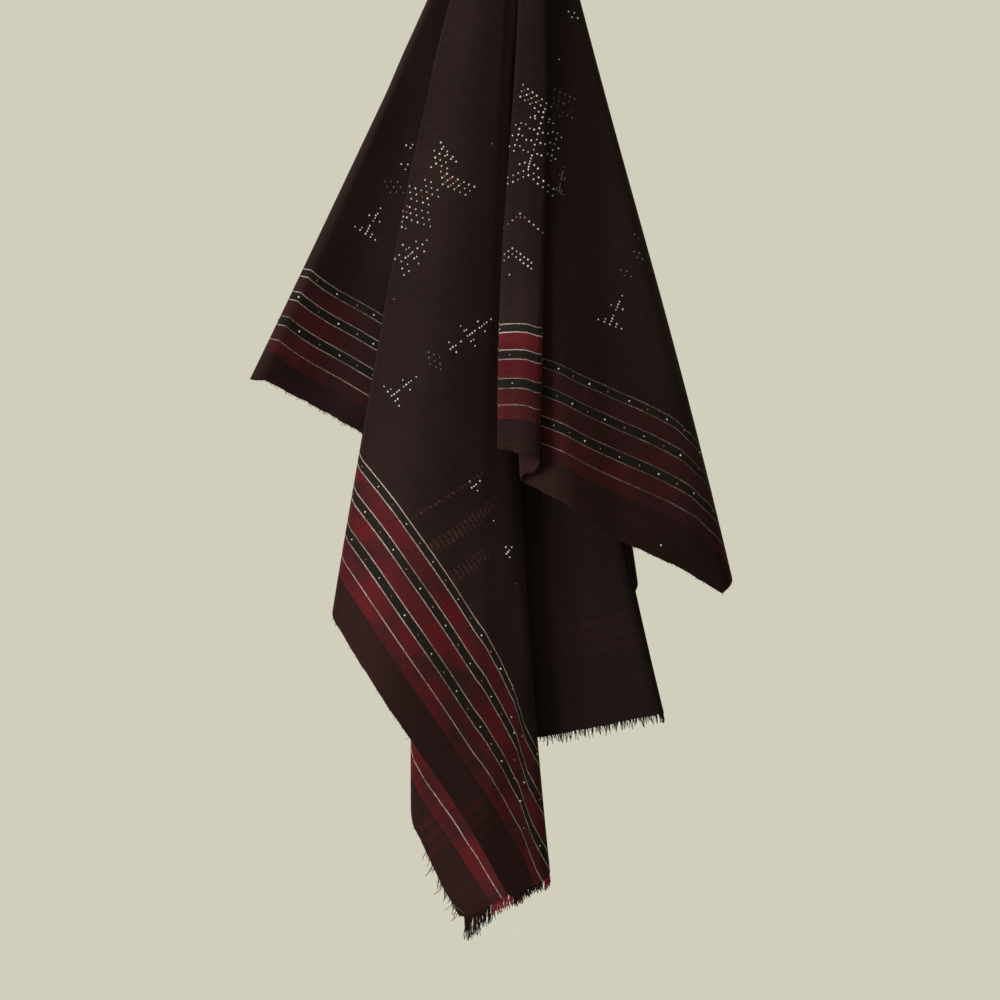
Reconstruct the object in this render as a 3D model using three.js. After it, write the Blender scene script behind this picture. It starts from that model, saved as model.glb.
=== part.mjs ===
import * as THREE from "three";

// A woven shawl hung from one point, rebuilt as one folded sheet with its frayed ends. Sizes are in mm.
// The origin is the hang point, +X is to the viewer's right, +Y goes into the wall and +Z is up.

const THICKNESS = 1.6;
const HALF_WIDTH = 500; // hang point to either long edge
const LOW_END = 737; // hang point to the short end that hangs in front
const LOW_END_SKEW = 14; // that end runs this much out of square in half the width
const HIGH_END = 420; // hang point to the short end that hangs behind
const FULL_TURN = 360;

const NECK_DROP = 30; // the pleats part this far below the hang point
const NECK_PITCH = 2.6; // from one pleat to the next where they are gathered
const DEPTH_RADIUS = 500; // the depths in the table hold at this distance from the hang point
const DEPTH_GROWTH = 0.8; // how fast the pleats open below the neck
const TURN_CLOTH = 1.1; // degrees of cloth on either side of a fold's edge
const NECK_TURN = 2.4; // the widest that a fold's edge is rounded at the neck
const WIDEST_TURN = 10; // and at DEPTH_RADIUS
const TURN_STEPS = [45, 90, 135];
const COLUMN_STEP = 3.6; // degrees of cloth from one column of points to the next
const ROWS = 12;
const RIPPLE = 1.5; // how far the hem waves in and out
const RIPPLE_SPAN = 14; // degrees of cloth from one wave to the next
const RIPPLE_RISE = 3; // the waves fade upwards with this power
const UNEVEN_STEP = 2.4; // sets which threads are long and which are short

// The gathered head above the neck: height below the hang point and size beside the neck's.
const HEAD = [
  { drop: 18, scale: 0.97 },
  { drop: 8, scale: 0.88 },
  { drop: 2, scale: 0.74 },
  { drop: 0, scale: 0.56 },
];

// The layers of the neck, from the front one to the one at the wall.
const LAYERS = [
  "flap_pleat",
  "flap_tuck",
  "flap_main",
  "flap_back",
  "front",
  "left_return",
  "left",
  "front_return",
  "back",
  "back_return",
  "inner_pleat",
  "second",
  "second_return",
  "far",
  "far_return",
  "wall_side",
];

// Each row is a fold's edge, or a bend on the way to the next one, in the order of the cloth round its hang point.
// layer: the layer that starts here. cloth: its angle in the flat cloth, from the square to one long edge.
// seen: its angle from the vertical in front view. before, after: its depth on either side of a fold.
// neck: where it starts at the neck. bow, sway: how far it leaves the straight line on its way down.
const COLUMNS = ["kind", "layer", "cloth", "cloth_after", "seen", "before", "after", "neck", "bow", "sway"];
const FOLDS = [
  ["fold", "left", 0, 0, -25.8, 38, -10, -23, 2.5, 0],
  ["bend", "left", 7, 7, -19.4, 7, 7, -15.5, 1, 0],
  ["bend", "left", 12, 12, -14.9, 11, 11, -11, 0, 0],
  ["fold", "left_return", 24, 24, -3.5, 8, 2, 1, -12, 0],
  ["fold", "front", 40.5, 40.5, -13.1, 4, -4, -20, -12, -2.5],
  ["bend", "front", 46.1, 46.1, -8.6, -21, -21, -12, -3, -2],
  ["bend", "front", 51.9, 51.9, -2.6, -13, -13, -2, -3, 0],
  ["bend", "front", 55.4, 55.4, 0.5, -6, -6, 4, -12, 0],
  ["fold", "front_return", 57.6, 57.6, 1.9, -2, 14, 9, -17, 0],
  ["fold", "back", 73.5, 73.5, -4.5, 14, 20, -8, -6, 0],
  ["bend", "back", 81, 81, 3.5, 18, 18, 6, -16, 0],
  ["fold", "back_return", 87.5, 87.5, 9.6, 20, 26, 15, -16, 0],
  ["fold", "inner_pleat", 103, 103, -5, 26, 32, -9, -6, 0],
  ["fold", "second", 112, 119.4, 1.3, 32, 38, 6, -10, 0],
  ["bend", "second", 123.7, 123.7, -2.8, 38, 38, -2, -14, 0],
  ["fold", "second_return", 128.3, 128.3, -6.1, 38, 44, -12, -20, 0],
  ["bend", "second_return", 139, 139, 3.3, 46, 46, 2, 0, 0],
  ["bend", "second_return", 149, 149, 9.2, 41, 41, 12, 0, 0],
  ["fold", "flap_back", 153, 153, 13.2, 31, -5, 18.5, 0, 0],
  ["bend", "flap_back", 162, 162, 5, -25, -25, 11, 0, 0],
  ["fold", "flap_pleat", 172, 190.6, -1.57, -29, -50, 5, 0, 2.6],
  ["bend", "flap_pleat", 192.7, 192.7, 0.4, -57, -57, 11, 3, 2.5],
  ["fold", "flap_tuck", 194.8, 197.4, 2.1, -57, -49, 17, 7, 2],
  ["fold", "flap_main", 200.1, 200.1, 0.5, -46, -38, 10, 0, 6],
  ["bend", "flap_main", 205.5, 205.5, 4, -46, -46, 14, 0, 2],
  ["bend", "flap_main", 209, 209, 6.4, -40, -40, 16, 0, 1],
  ["bend", "flap_main", 212.1, 212.1, 8.9, -31, -31, 18, 1, 0],
  ["bend", "flap_main", 216.4, 216.4, 13.2, -16, -16, 19, 1.5, 0],
  ["fold", "far", 221.1, 221.1, 16.2, -6, 30, 25, 1, -1.5],
  ["bend", "far", 225, 225, 11.8, 45, 45, 14, 0, 0],
  ["bend", "far", 232, 232, 5, 52, 52, 5, 0, 0],
  ["fold", "far_return", 244, 296, -6, 52, 58, -14, 0, 0],
  ["bend", "far_return", 319.7, 319.7, 7, 59, 59, 11, 0, 0],
  ["fold", "wall_side", 323, 323, 9.4, 58, 64, 15, 0, 0],
  ["bend", "wall_side", 343, 343, -8.8, 66, 66, -6, 0, 0],
].map((row) => Object.fromEntries(COLUMNS.map((column, i) => [column, row[i]])));

// The fringe along the short ends. pitch: from one thread to the next, finer where the photo shows it.
const FRINGE_THICKNESS = 1.1;
const FRINGE_GAP = 0.8;
const FRINGE_BAND = 2;
const FRINGE_LENGTH = 9;
const FRINGE_UNEVEN = 0.3;
const FRINGE_HANG = 0.4; // how far the threads turn from the warp to the vertical
const THREAD_ROOT = 1.6;
const THREAD_TIP = 0.6;
const THREAD_LEAN = 1.2;
const THREAD_POINTS = 5; // the points of one thread's outline, with the one over it
const SHOWN_PITCH = 3;
const HIDDEN_PITCH = 8;
const FRINGES = [
  { layer: "front", from: 56, to: 59.6, pitch: SHOWN_PITCH },
  { layer: "front_return", from: 60.2, to: 72.2, pitch: HIDDEN_PITCH },
  { layer: "back", from: 74.8, to: 86.2, pitch: SHOWN_PITCH },
  { layer: "back_return", from: 88.8, to: 101.6, pitch: HIDDEN_PITCH },
  { layer: "inner_pleat", from: 104.4, to: 110.8, pitch: HIDDEN_PITCH },
  { layer: "second", from: 121.6, to: 123.5, pitch: SHOWN_PITCH },
  { layer: "far", from: 227, to: 242.6, pitch: HIDDEN_PITCH },
  { layer: "far_return", from: 297.4, to: 316, pitch: HIDDEN_PITCH },
];

const radians = THREE.MathUtils.degToRad;
const mix = THREE.MathUtils.lerp;

// The distance from the hang point to the cloth's edge at one cloth angle.
function reach(cloth) {
  const angle = radians(cloth);
  const across = Math.cos(angle) / HALF_WIDTH;
  const low = (Math.sin(angle) + LOW_END_SKEW * across) / LOW_END;
  const high = -Math.sin(angle) / HIGH_END;
  return 1 / Math.max(Math.abs(across), low, high);
}

// A smooth curve through the values of one column, read at one cloth angle.
function smooth(rows, column, cloth) {
  let i = 0;
  while (i < rows.length - 2 && cloth > rows[i + 1].cloth) i++;
  const a = rows[i];
  const b = rows[i + 1];
  const span = b.cloth - a.cloth;
  const slope = (p, q) => ((q[column] - p[column]) / (q.cloth - p.cloth)) * span;
  const startSlope = i > 0 ? slope(rows[i - 1], b) : slope(a, b);
  const endSlope = i < rows.length - 2 ? slope(a, rows[i + 2]) : slope(a, b);
  const t = (cloth - a.cloth) / span;
  const t2 = t * t;
  const t3 = t2 * t;
  return (
    a[column] * (2 * t3 - 3 * t2 + 1) +
    startSlope * (t3 - 2 * t2 + t) +
    b[column] * (3 * t2 - 2 * t3) +
    endSlope * (t3 - t2)
  );
}

// The panels between folds, each with its own rows and the fold rows at both ends.
function panelsOf(folds) {
  const starts = folds.flatMap((row, i) => (row.kind === "fold" ? [i] : []));
  return starts.map((start, n) => {
    const end = starts[n + 1] ?? folds.length;
    const last = folds[end % folds.length];
    const turn = end === folds.length ? FULL_TURN : 0;
    const rows = folds.slice(start, end).map((row) => ({ ...row, depth: row.after }));
    rows[0].cloth = rows[0].cloth_after;
    rows.push({ ...last, cloth: last.cloth + turn, depth: last.before });
    rows[0].cloth += TURN_CLOTH;
    rows[rows.length - 1].cloth -= TURN_CLOTH;
    return { layer: rows[0].layer, rows, outward: Math.sign(rows[0].seen - rows[rows.length - 1].seen) };
  });
}

const neckDepth = (layer) => (LAYERS.indexOf(layer) - (LAYERS.length - 1) / 2) * NECK_PITCH;

// Depth at a distance from the hang point, from the depth at the neck and that at DEPTH_RADIUS.
function depthAt(layer, depth, radius) {
  const neck = neckDepth(layer);
  return neck + (depth - neck) * Math.pow(radius / DEPTH_RADIUS, DEPTH_GROWTH);
}

// A point in front view, t going from the neck to the cloth's edge.
function seenPoint({ seen, neck, bow, sway }, radius, t) {
  const x = Math.sin(radians(seen)) * radius;
  const z = -Math.cos(radians(seen)) * radius;
  const bend = bow * 4 * t * (1 - t) + sway * Math.sin(2 * Math.PI * t);
  return { x: mix(neck, x, t) + bend, z: mix(-NECK_DROP, z, t) };
}

// How far the cloth waves in or out of its fold, most of all at the hem.
function ripple(cloth, t) {
  return RIPPLE * Math.pow(t, RIPPLE_RISE) * Math.sin((2 * Math.PI * cloth) / RIPPLE_SPAN);
}

// How far from a fold's edge its rounding starts.
function turnSize(half, radius) {
  return Math.min(Math.abs(half), mix(NECK_TURN, WIDEST_TURN, radius / DEPTH_RADIUS));
}

// One column of points down a panel, share going from 0 at its first fold to 1 at its last.
function panelColumn(panel, cloth) {
  const { layer, rows, outward } = panel;
  const first = rows[0];
  const last = rows[rows.length - 1];
  const share = (cloth - first.cloth) / (last.cloth - first.cloth);
  const values = {};
  for (const column of ["seen", "neck", "bow", "sway", "depth"]) values[column] = smooth(rows, column, cloth);
  const radius = reach(cloth);
  const at = (t) => {
    const { x, z } = seenPoint(values, radius, t);
    const r = radius * t;
    const startHalf = (depthAt(layer, first.after, r) - depthAt(panel.previous, first.before, r)) / 2;
    const endHalf = (depthAt(panel.next, last.after, r) - depthAt(layer, last.before, r)) / 2;
    const inset = -outward * turnSize(startHalf, r) * (1 - share) + outward * turnSize(endHalf, r) * share;
    return new THREE.Vector3(x + inset, depthAt(layer, values.depth, r) + ripple(cloth, t), z);
  };
  return { cloth, at };
}

// The columns round one fold, from the panel before it to the one after.
function foldColumns(fold, before, after, outward) {
  return TURN_STEPS.map((degrees) => {
    const angle = radians(degrees);
    const start = fold.cloth - TURN_CLOTH;
    const end = fold.cloth_after + TURN_CLOTH;
    const share = degrees / 180;
    const radius = mix(reach(start), reach(end), share);
    const at = (t) => {
      const { x, z } = seenPoint(fold, radius, t);
      const r = radius * t;
      const near = depthAt(before, fold.before, r);
      const far = depthAt(after, fold.after, r);
      const half = (far - near) / 2;
      const inset = outward * turnSize(half, r) * (1 - Math.sin(angle));
      const wave = mix(ripple(start, t), ripple(end, t), share);
      return new THREE.Vector3(x - inset, (near + far) / 2 - half * Math.cos(angle) + wave, z);
    };
    return { cloth: mix(start, end, share), at };
  });
}

// Every column round the cloth, in order, back to the first one.
function clothColumns() {
  const panels = panelsOf(FOLDS);
  panels.forEach((panel, i) => {
    panel.previous = panels[(i + panels.length - 1) % panels.length].layer;
    panel.next = panels[(i + 1) % panels.length].layer;
  });
  return panels.flatMap((panel) => {
    const first = panel.rows[0];
    const last = panel.rows[panel.rows.length - 1];
    const steps = Math.max(2, Math.ceil((last.cloth - first.cloth) / COLUMN_STEP));
    const stops = Array.from({ length: steps + 1 }, (_, i) => mix(first.cloth, last.cloth, i / steps));
    const fold = FOLDS.find((row) => row.kind === "fold" && row.layer === panel.layer);
    return [
      ...foldColumns(fold, panel.previous, panel.layer, panel.outward),
      ...stops.map((cloth) => panelColumn(panel, cloth)),
    ];
  });
}

const columns = clothColumns();
const count = columns.length;
const around = (i) => (i + count) % count;
const middle = columns.map(({ at }) => Array.from({ length: ROWS + 1 }, (_, j) => at(j / ROWS)));

// The way out of the sheet at one point of its grid.
function normalAt(i, j) {
  const side = middle[around(i + 1)][j].clone().sub(middle[around(i - 1)][j]);
  const down = middle[i][Math.min(j + 1, ROWS)].clone().sub(middle[i][Math.max(j - 1, 0)]);
  return down.cross(side).normalize();
}

function meshOf(name, points, faces, color) {
  const geometry = new THREE.BufferGeometry();
  geometry.setAttribute("position", new THREE.Float32BufferAttribute(points.flatMap((p) => p.toArray()), 3));
  geometry.setIndex(faces.flat());
  const material = new THREE.MeshStandardMaterial({ color, roughness: 0.9 });
  const mesh = new THREE.Mesh(geometry, material);
  mesh.name = name;
  return mesh;
}

// The draped sheet: an outer skin up to the head, an inner skin up to the neck, and a hem that joins them.
function makeCloth() {
  const offset = (i, j, side) => middle[i][j].clone().addScaledVector(normalAt(i, j), (side * THICKNESS) / 2);
  const neckOuter = columns.map((_, i) => offset(i, 0, 1));
  const headRings = HEAD.map(({ drop, scale }) =>
    neckOuter.map((p) => new THREE.Vector3(p.x * scale, p.y * scale, -drop)),
  );
  const outer = Array.from({ length: ROWS + 1 }, (_, j) => columns.map((_, i) => offset(i, j, 1)));
  const inner = Array.from({ length: ROWS + 1 }, (_, j) => columns.map((_, i) => offset(i, j, -1)));
  const rings = [...headRings.reverse(), ...outer, ...inner.reverse()];
  const points = rings.flat();
  const faces = [];
  for (let k = 0; k < rings.length - 1; k++) {
    for (let i = 0; i < count; i++) {
      const a = k * count + i;
      const b = k * count + around(i + 1);
      faces.push([a, a + count, b], [b, a + count, b + count]);
    }
  }
  for (const [start, flip] of [[0, false], [(rings.length - 1) * count, true]]) {
    const outline = points.slice(start, start + count).map((p) => new THREE.Vector2(p.x, p.y));
    for (const cap of THREE.ShapeUtils.triangulateShape(outline, [])) {
      const [a, b, c] = cap.map((i) => start + i);
      faces.push(flip ? [a, c, b] : [a, b, c]);
    }
  }
  return meshOf("cloth", points, faces, 0x3a2422);
}

// A repeatable unevenness between -1 and 1.
const uneven = (i) => Math.sin(UNEVEN_STEP * (i + 1) * (i + 1));

// A point beyond the hem at one cloth angle: drop is the distance below it and side the face of the fringe.
function belowHem(cloth, drop, side) {
  const i = columns.findLastIndex((column) => column.cloth <= cloth);
  const share = (cloth - columns[i].cloth) / (columns[i + 1].cloth - columns[i].cloth);
  const hem = middle[i][ROWS].clone().lerp(middle[i + 1][ROWS], share);
  const above = middle[i][ROWS - 1].clone().lerp(middle[i + 1][ROWS - 1], share);
  const down = hem.clone().sub(above).normalize().lerp(new THREE.Vector3(0, 0, -1), FRINGE_HANG).normalize();
  const normal = normalAt(i, ROWS).lerp(normalAt(i + 1, ROWS), share).normalize();
  return hem.addScaledVector(down, FRINGE_GAP + drop).addScaledVector(normal, (side * FRINGE_THICKNESS) / 2);
}

// The cloth angle of a point on a short end, from its distance to the square through the hang point.
function angleOnEnd(x, low) {
  const y = low ? LOW_END - (LOW_END_SKEW * x) / HALF_WIDTH : -HIGH_END;
  return (THREE.MathUtils.radToDeg(Math.atan2(y, x)) + FULL_TURN) % FULL_TURN;
}

// A comb of loose threads whose roots are one narrow band along the cloth's end.
function makeFringe({ layer, from, to, pitch }) {
  const low = from < FULL_TURN / 2;
  const across = (cloth) => reach(cloth) * Math.cos(radians(cloth));
  const start = across(from);
  const width = Math.abs(across(to) - start);
  const threads = Math.max(1, Math.round(width / pitch));
  const flat = Array.from({ length: threads }, (_, i) => {
    const centre = (width * (i + 0.5)) / threads;
    const tip = FRINGE_LENGTH * (1 + FRINGE_UNEVEN * uneven(i));
    const lean = THREAD_LEAN * uneven(i + threads);
    return [
      [centre, 0],
      [centre - THREAD_ROOT / 2, FRINGE_BAND],
      [centre - THREAD_TIP / 2 + lean, tip],
      [centre + THREAD_TIP / 2 + lean, tip],
      [centre + THREAD_ROOT / 2, FRINGE_BAND],
    ];
  }).flat();
  const ends = flat.length;
  const size = ends + 4;
  flat.push([0, 0], [0, FRINGE_BAND], [width, 0], [width, FRINGE_BAND]);
  const faces = [];
  for (let i = 0; i < ends; i += THREAD_POINTS) {
    const after = i + THREAD_POINTS;
    const next = after < ends ? [after + 1, after] : [ends + 3, ends + 2];
    faces.push([i, i + 1, i + 4], [i + 1, i + 2, i + 3], [i + 1, i + 3, i + 4]);
    faces.push([i, i + 4, next[0]], [i, next[0], next[1]]);
  }
  faces.push([ends, ends + 1, 1], [ends, 1, 0]);
  const tops = Array.from({ length: threads }, (_, i) => THREAD_POINTS * i);
  const teeth = tops.flatMap((top) => [top + 1, top + 2, top + 3, top + 4]);
  const outline = [ends, ends + 1, ...teeth, ends + 3, ends + 2, ...tops.reverse()];
  const direction = across(to) > start ? 1 : -1;
  const points = [1, -1].flatMap((side) =>
    flat.map(([along, drop]) => belowHem(angleOnEnd(start + direction * along, low), drop, side)),
  );
  const walls = outline.flatMap((a, i) => {
    const b = outline[(i + 1) % outline.length];
    return [[a, a + size, b], [b, a + size, b + size]];
  });
  const back = faces.map(([a, b, c]) => [a + size, c + size, b + size]);
  return meshOf(`fringe_${layer}`, points, [...faces, ...back, ...walls], 0x4a2628);
}

const shawl = new THREE.Group();
shawl.add(makeCloth(), ...FRINGES.map(makeFringe));

export default shawl;
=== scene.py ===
"""A dark woven shawl hung from one point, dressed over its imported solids. Table sizes are in mm."""

import logging
import math
from dataclasses import dataclass, field
from enum import Enum

import bpy
import numpy as np
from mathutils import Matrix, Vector
from mathutils.bvhtree import BVHTree

import bmesh


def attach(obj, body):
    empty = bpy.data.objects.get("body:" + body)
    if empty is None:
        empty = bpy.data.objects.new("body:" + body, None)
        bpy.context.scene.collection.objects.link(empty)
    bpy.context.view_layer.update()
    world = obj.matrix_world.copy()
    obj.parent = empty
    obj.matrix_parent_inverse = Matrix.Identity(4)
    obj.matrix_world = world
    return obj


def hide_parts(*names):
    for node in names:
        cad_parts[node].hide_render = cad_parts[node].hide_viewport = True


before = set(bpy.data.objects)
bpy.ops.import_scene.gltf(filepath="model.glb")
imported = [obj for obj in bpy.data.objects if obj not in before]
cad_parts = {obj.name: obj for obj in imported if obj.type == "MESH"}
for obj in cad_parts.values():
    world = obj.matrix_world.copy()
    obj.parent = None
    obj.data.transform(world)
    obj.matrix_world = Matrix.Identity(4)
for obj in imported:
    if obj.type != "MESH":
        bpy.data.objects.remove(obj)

log = logging.getLogger("shawl")

MM = 0.001
FULL_TURN = 360.0
FLAT_MAP = "flat_cloth"
BORDER_MAP = "border_place"

Color = tuple[float, float, float]
Node = bpy.types.Node
Socket = bpy.types.NodeSocket


class Layer(Enum):
    """The layers of the neck, numbered from the front one to the one at the wall."""

    FLAP_PLEAT = 0
    FLAP_TUCK = 1
    FLAP_MAIN = 2
    FLAP_BACK = 3
    FRONT = 4
    LEFT_RETURN = 5
    LEFT = 6
    FRONT_RETURN = 7
    BACK = 8
    BACK_RETURN = 9
    INNER_PLEAT = 10
    SECOND = 11
    SECOND_RETURN = 12
    FAR = 13
    FAR_RETURN = 14
    WALL_SIDE = 15


SHOWN_LAYERS = frozenset(
    {Layer.FLAP_PLEAT, Layer.FLAP_TUCK, Layer.FLAP_MAIN, Layer.FRONT, Layer.LEFT, Layer.BACK, Layer.SECOND}
)


class Turn(Enum):
    """What a row of the fold table marks."""

    FOLD = "a fold's edge"
    BEND = "a bend on the way to the next fold"


class Yarn(Enum):
    """The dyed yarns of the cloth and of the knots on it."""

    GROUND = "dark plum brown"
    BROWN = "plain brown of the outer band"
    RED = "madder red"
    WHITE = "undyed white"
    DARK = "green black"
    OCHRE = "dull ochre"
    ROSE = "faded rose"
    # Painted light: a red brightened to offset the shade inside the tufts.
    PAINTED_LIGHT_RED = "the fresh red inside a tuft"
    GREEN = "dull green"
    GREY = "grey in the shade"
    BRIGHT = "bleached white"


@dataclass(frozen=True)
class FoldRow:
    """One row of the fold table: cloth angles, angle in front view, depths, neck place and bows."""

    turn: Turn
    layer: Layer
    cloth: float
    cloth_after: float
    seen: float
    before: float
    after: float
    neck: float
    bow: float
    sway: float = 0.0


def fold_at(layer: Layer, cloth: float, *rest: float, cloth_after: float | None = None) -> FoldRow:
    """Returns the row of a fold. Where the fold hides a tuck, the cloth goes on at another angle."""
    return FoldRow(Turn.FOLD, layer, cloth, cloth if cloth_after is None else cloth_after, *rest)


def bend_at(layer: Layer, cloth: float, seen: float, depth: float, *rest: float) -> FoldRow:
    """Returns the row of a bend, where the depth is the same before and after."""
    return FoldRow(Turn.BEND, layer, cloth, cloth, seen, depth, depth, *rest)


FOLDS = (
    fold_at(Layer.LEFT, 0, -25.8, 38, -10, -23, 2.5),
    bend_at(Layer.LEFT, 7, -19.4, 7, -15.5, 1),
    bend_at(Layer.LEFT, 12, -14.9, 11, -11, 0),
    fold_at(Layer.LEFT_RETURN, 24, -3.5, 8, 2, 1, -12),
    fold_at(Layer.FRONT, 40.5, -13.1, 4, -4, -20, -12, -2.5),
    bend_at(Layer.FRONT, 46.1, -8.6, -21, -12, -3, -2),
    bend_at(Layer.FRONT, 51.9, -2.6, -13, -2, -3),
    bend_at(Layer.FRONT, 55.4, 0.5, -6, 4, -12),
    fold_at(Layer.FRONT_RETURN, 57.6, 1.9, -2, 14, 9, -17),
    fold_at(Layer.BACK, 73.5, -4.5, 14, 20, -8, -6),
    bend_at(Layer.BACK, 81, 3.5, 18, 6, -16),
    fold_at(Layer.BACK_RETURN, 87.5, 9.6, 20, 26, 15, -16),
    fold_at(Layer.INNER_PLEAT, 103, -5, 26, 32, -9, -6),
    fold_at(Layer.SECOND, 112, 1.3, 32, 38, 6, -10, cloth_after=119.4),
    bend_at(Layer.SECOND, 123.7, -2.8, 38, -2, -14),
    fold_at(Layer.SECOND_RETURN, 128.3, -6.1, 38, 44, -12, -20),
    bend_at(Layer.SECOND_RETURN, 139, 3.3, 46, 2, 0),
    bend_at(Layer.SECOND_RETURN, 149, 9.2, 41, 12, 0),
    fold_at(Layer.FLAP_BACK, 153, 13.2, 31, -5, 18.5, 0),
    bend_at(Layer.FLAP_BACK, 162, 5, -25, 11, 0),
    fold_at(Layer.FLAP_PLEAT, 172, -1.57, -29, -50, 5, 0, 2.6, cloth_after=190.6),
    bend_at(Layer.FLAP_PLEAT, 192.7, 0.4, -57, 11, 3, 2.5),
    fold_at(Layer.FLAP_TUCK, 194.8, 2.1, -57, -49, 17, 7, 2, cloth_after=197.4),
    fold_at(Layer.FLAP_MAIN, 200.1, 0.5, -46, -38, 10, 0, 6),
    bend_at(Layer.FLAP_MAIN, 205.5, 4, -46, 14, 0, 2),
    bend_at(Layer.FLAP_MAIN, 209, 6.4, -40, 16, 0, 1),
    bend_at(Layer.FLAP_MAIN, 212.1, 8.9, -31, 18, 1),
    bend_at(Layer.FLAP_MAIN, 216.4, 13.2, -16, 19, 1.5),
    fold_at(Layer.FAR, 221.1, 16.2, -6, 30, 25, 1, -1.5),
    bend_at(Layer.FAR, 225, 11.8, 45, 14, 0),
    bend_at(Layer.FAR, 232, 5, 52, 5, 0),
    fold_at(Layer.FAR_RETURN, 244, -6, 52, 58, -14, 0, cloth_after=296),
    bend_at(Layer.FAR_RETURN, 319.7, 7, 59, 11, 0),
    fold_at(Layer.WALL_SIDE, 323, 9.4, 58, 64, 15, 0),
    bend_at(Layer.WALL_SIDE, 343, -8.8, 66, -6, 0),
)


@dataclass(frozen=True)
class Crease:
    """A soft ridge, or a trough where its height is negative, along a line of the flat cloth."""

    layer: Layer
    start: tuple[float, float]
    end: tuple[float, float]
    width: float
    height: float


CREASES = (
    Crease(Layer.FRONT, (90, 150), (330, 500), 16, 1.8),
    Crease(Layer.FRONT, (150, 140), (430, 420), 20, -1.6),
    Crease(Layer.FRONT, (330, 560), (470, 640), 12, 1.6),
    Crease(Layer.LEFT, (220, 20), (480, 60), 22, -1.8),
    Crease(Layer.LEFT, (250, 70), (480, 150), 18, 1.5),
    Crease(Layer.BACK, (60, 420), (90, 700), 14, -1.6),
    Crease(Layer.BACK, (30, 500), (40, 720), 16, 1.6),
    Crease(Layer.FLAP_MAIN, (-180, -140), (-480, -300), 14, -1.5),
    Crease(Layer.FLAP_MAIN, (-250, -210), (-480, -380), 16, 1.4),
)


@dataclass(frozen=True)
class FrayedPlace:
    """A stretch of a short end where the weft has come out, between two places across the cloth."""

    start: float
    end: float
    depth: float
    thread: float
    yarn: Yarn


FRAYED_PLACES = (
    FrayedPlace(-500, -486, 1, 19, Yarn.BROWN),
    FrayedPlace(-486, -474, 2, 15, Yarn.BROWN),
    FrayedPlace(-474, -450, 2, 11, Yarn.PAINTED_LIGHT_RED),
    FrayedPlace(460, 472, 2, 9, Yarn.PAINTED_LIGHT_RED),
    FrayedPlace(474, 499, 3, 7, Yarn.BROWN),
)


# Each cloth angle, and how far the woven border has slipped there from its place on the cut cloth.
WANDERS = (
    (0, 0.5), (0.7, -1.5), (1.5, -3.5), (3, -5.5), (5, -6.7), (24, -8), (41, 0), (51.5, 0), (52.4, 0.5),
    (53.4, 4), (55.3, 7.3), (56, 2), (56.4, -10), (57, -14), (70, 0), (120, -10), (122.1, -4.5),
    (122.8, 0.5), (124, 3.5), (125.1, 0.5), (126.4, -4), (129, -4), (140, 0), (190, 0), (191.2, -2),
    (192, 0.5), (193, 1.3), (193.7, -0.5), (203.7, 0), (206, 2), (207.6, 3.5), (210.6, 6), (212, 7.5),
    (219.2, 8.5), (220.2, 4), (221.1, -6), (224, -6), (240, 0), (360, 0.5),
)

# A point on the cloth, the way out of the sheet there and the way down the cloth.
Spot = tuple[Vector, Vector, Vector]


def wander(cloth: np.ndarray | float) -> np.ndarray:
    """Returns how far the border has slipped at each cloth angle."""
    return np.interp(cloth, *zip(*WANDERS))


def cloth_angle(across: float, along: float) -> float:
    """Returns the angle of a point of the flat cloth round the hang point, in degrees."""
    return math.degrees(math.atan2(along, across)) % FULL_TURN


def is_tucked(cloth: float) -> bool:
    """Tells whether a cloth angle is inside one of the hidden tucks."""
    return any(row.cloth < cloth < row.cloth_after for row in FOLDS)


@dataclass(frozen=True)
class FlatCloth:
    """The cloth as it was cut, measured from the hang point."""

    half_width: float = 500.0
    low_end: float = 737.0
    low_skew: float = 14.0
    high_end: float = 420.0
    wear: float = 1.3
    wear_turns: tuple[float, float] = (211.0, 83.0)

    def size(self) -> tuple[float, float]:
        """Returns the width and the length in metres."""
        return (2 * self.half_width * MM, (self.low_end + self.high_end) * MM)

    def reach(self, cloth: float) -> float:
        """Measures from the hang point to the cloth's edge.

        Args:
            cloth: the angle in the flat cloth, in degrees.

        Returns:
            The distance, shorter where the end is frayed away.
        """
        angle = math.radians(cloth)
        across = math.cos(angle) / self.half_width
        low = (math.sin(angle) + self.low_skew * across) / self.low_end
        high = -math.sin(angle) / self.high_end
        edge = 1 / max(abs(across), low, high)
        if low >= max(abs(across), high):
            edge -= self.bite(edge * math.cos(angle))
        fast, slow = self.wear_turns
        worn = math.sin(math.radians(cloth * fast)) * math.sin(math.radians(cloth * slow))
        return edge - self.wear * (0.5 + 0.5 * worn)

    @staticmethod
    def bite(across: float) -> float:
        """Tells how much of the low end is gone.

        Args:
            across: the place on the end.

        Returns:
            The missing length.
        """
        missing = 0.0
        for place in FRAYED_PLACES:
            share = (across - place.start) / (place.end - place.start)
            if 0 < share < 1:
                missing += place.depth * math.sin(math.pi * share) ** 0.5
        return missing

    def end_point(self, across: float, low: bool) -> tuple[float, float]:
        """Finds a point on a short end.

        Args:
            across: the place across the cloth.
            low: True for the end that hangs in front.

        Returns:
            The point, across and along.
        """
        along = self.low_end - self.low_skew * across / self.half_width if low else -self.high_end
        return across, along


@dataclass(frozen=True)
class Column:
    """One line of points from the neck down to the hem."""

    layer: Layer
    cloth: float
    reach: float
    points: np.ndarray


@dataclass(frozen=True)
class Panel:
    """The cloth between two folds."""

    layer: Layer
    previous: Layer
    next: Layer
    cloth: np.ndarray
    values: np.ndarray
    first: FoldRow
    last: FoldRow
    outward: float


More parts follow.
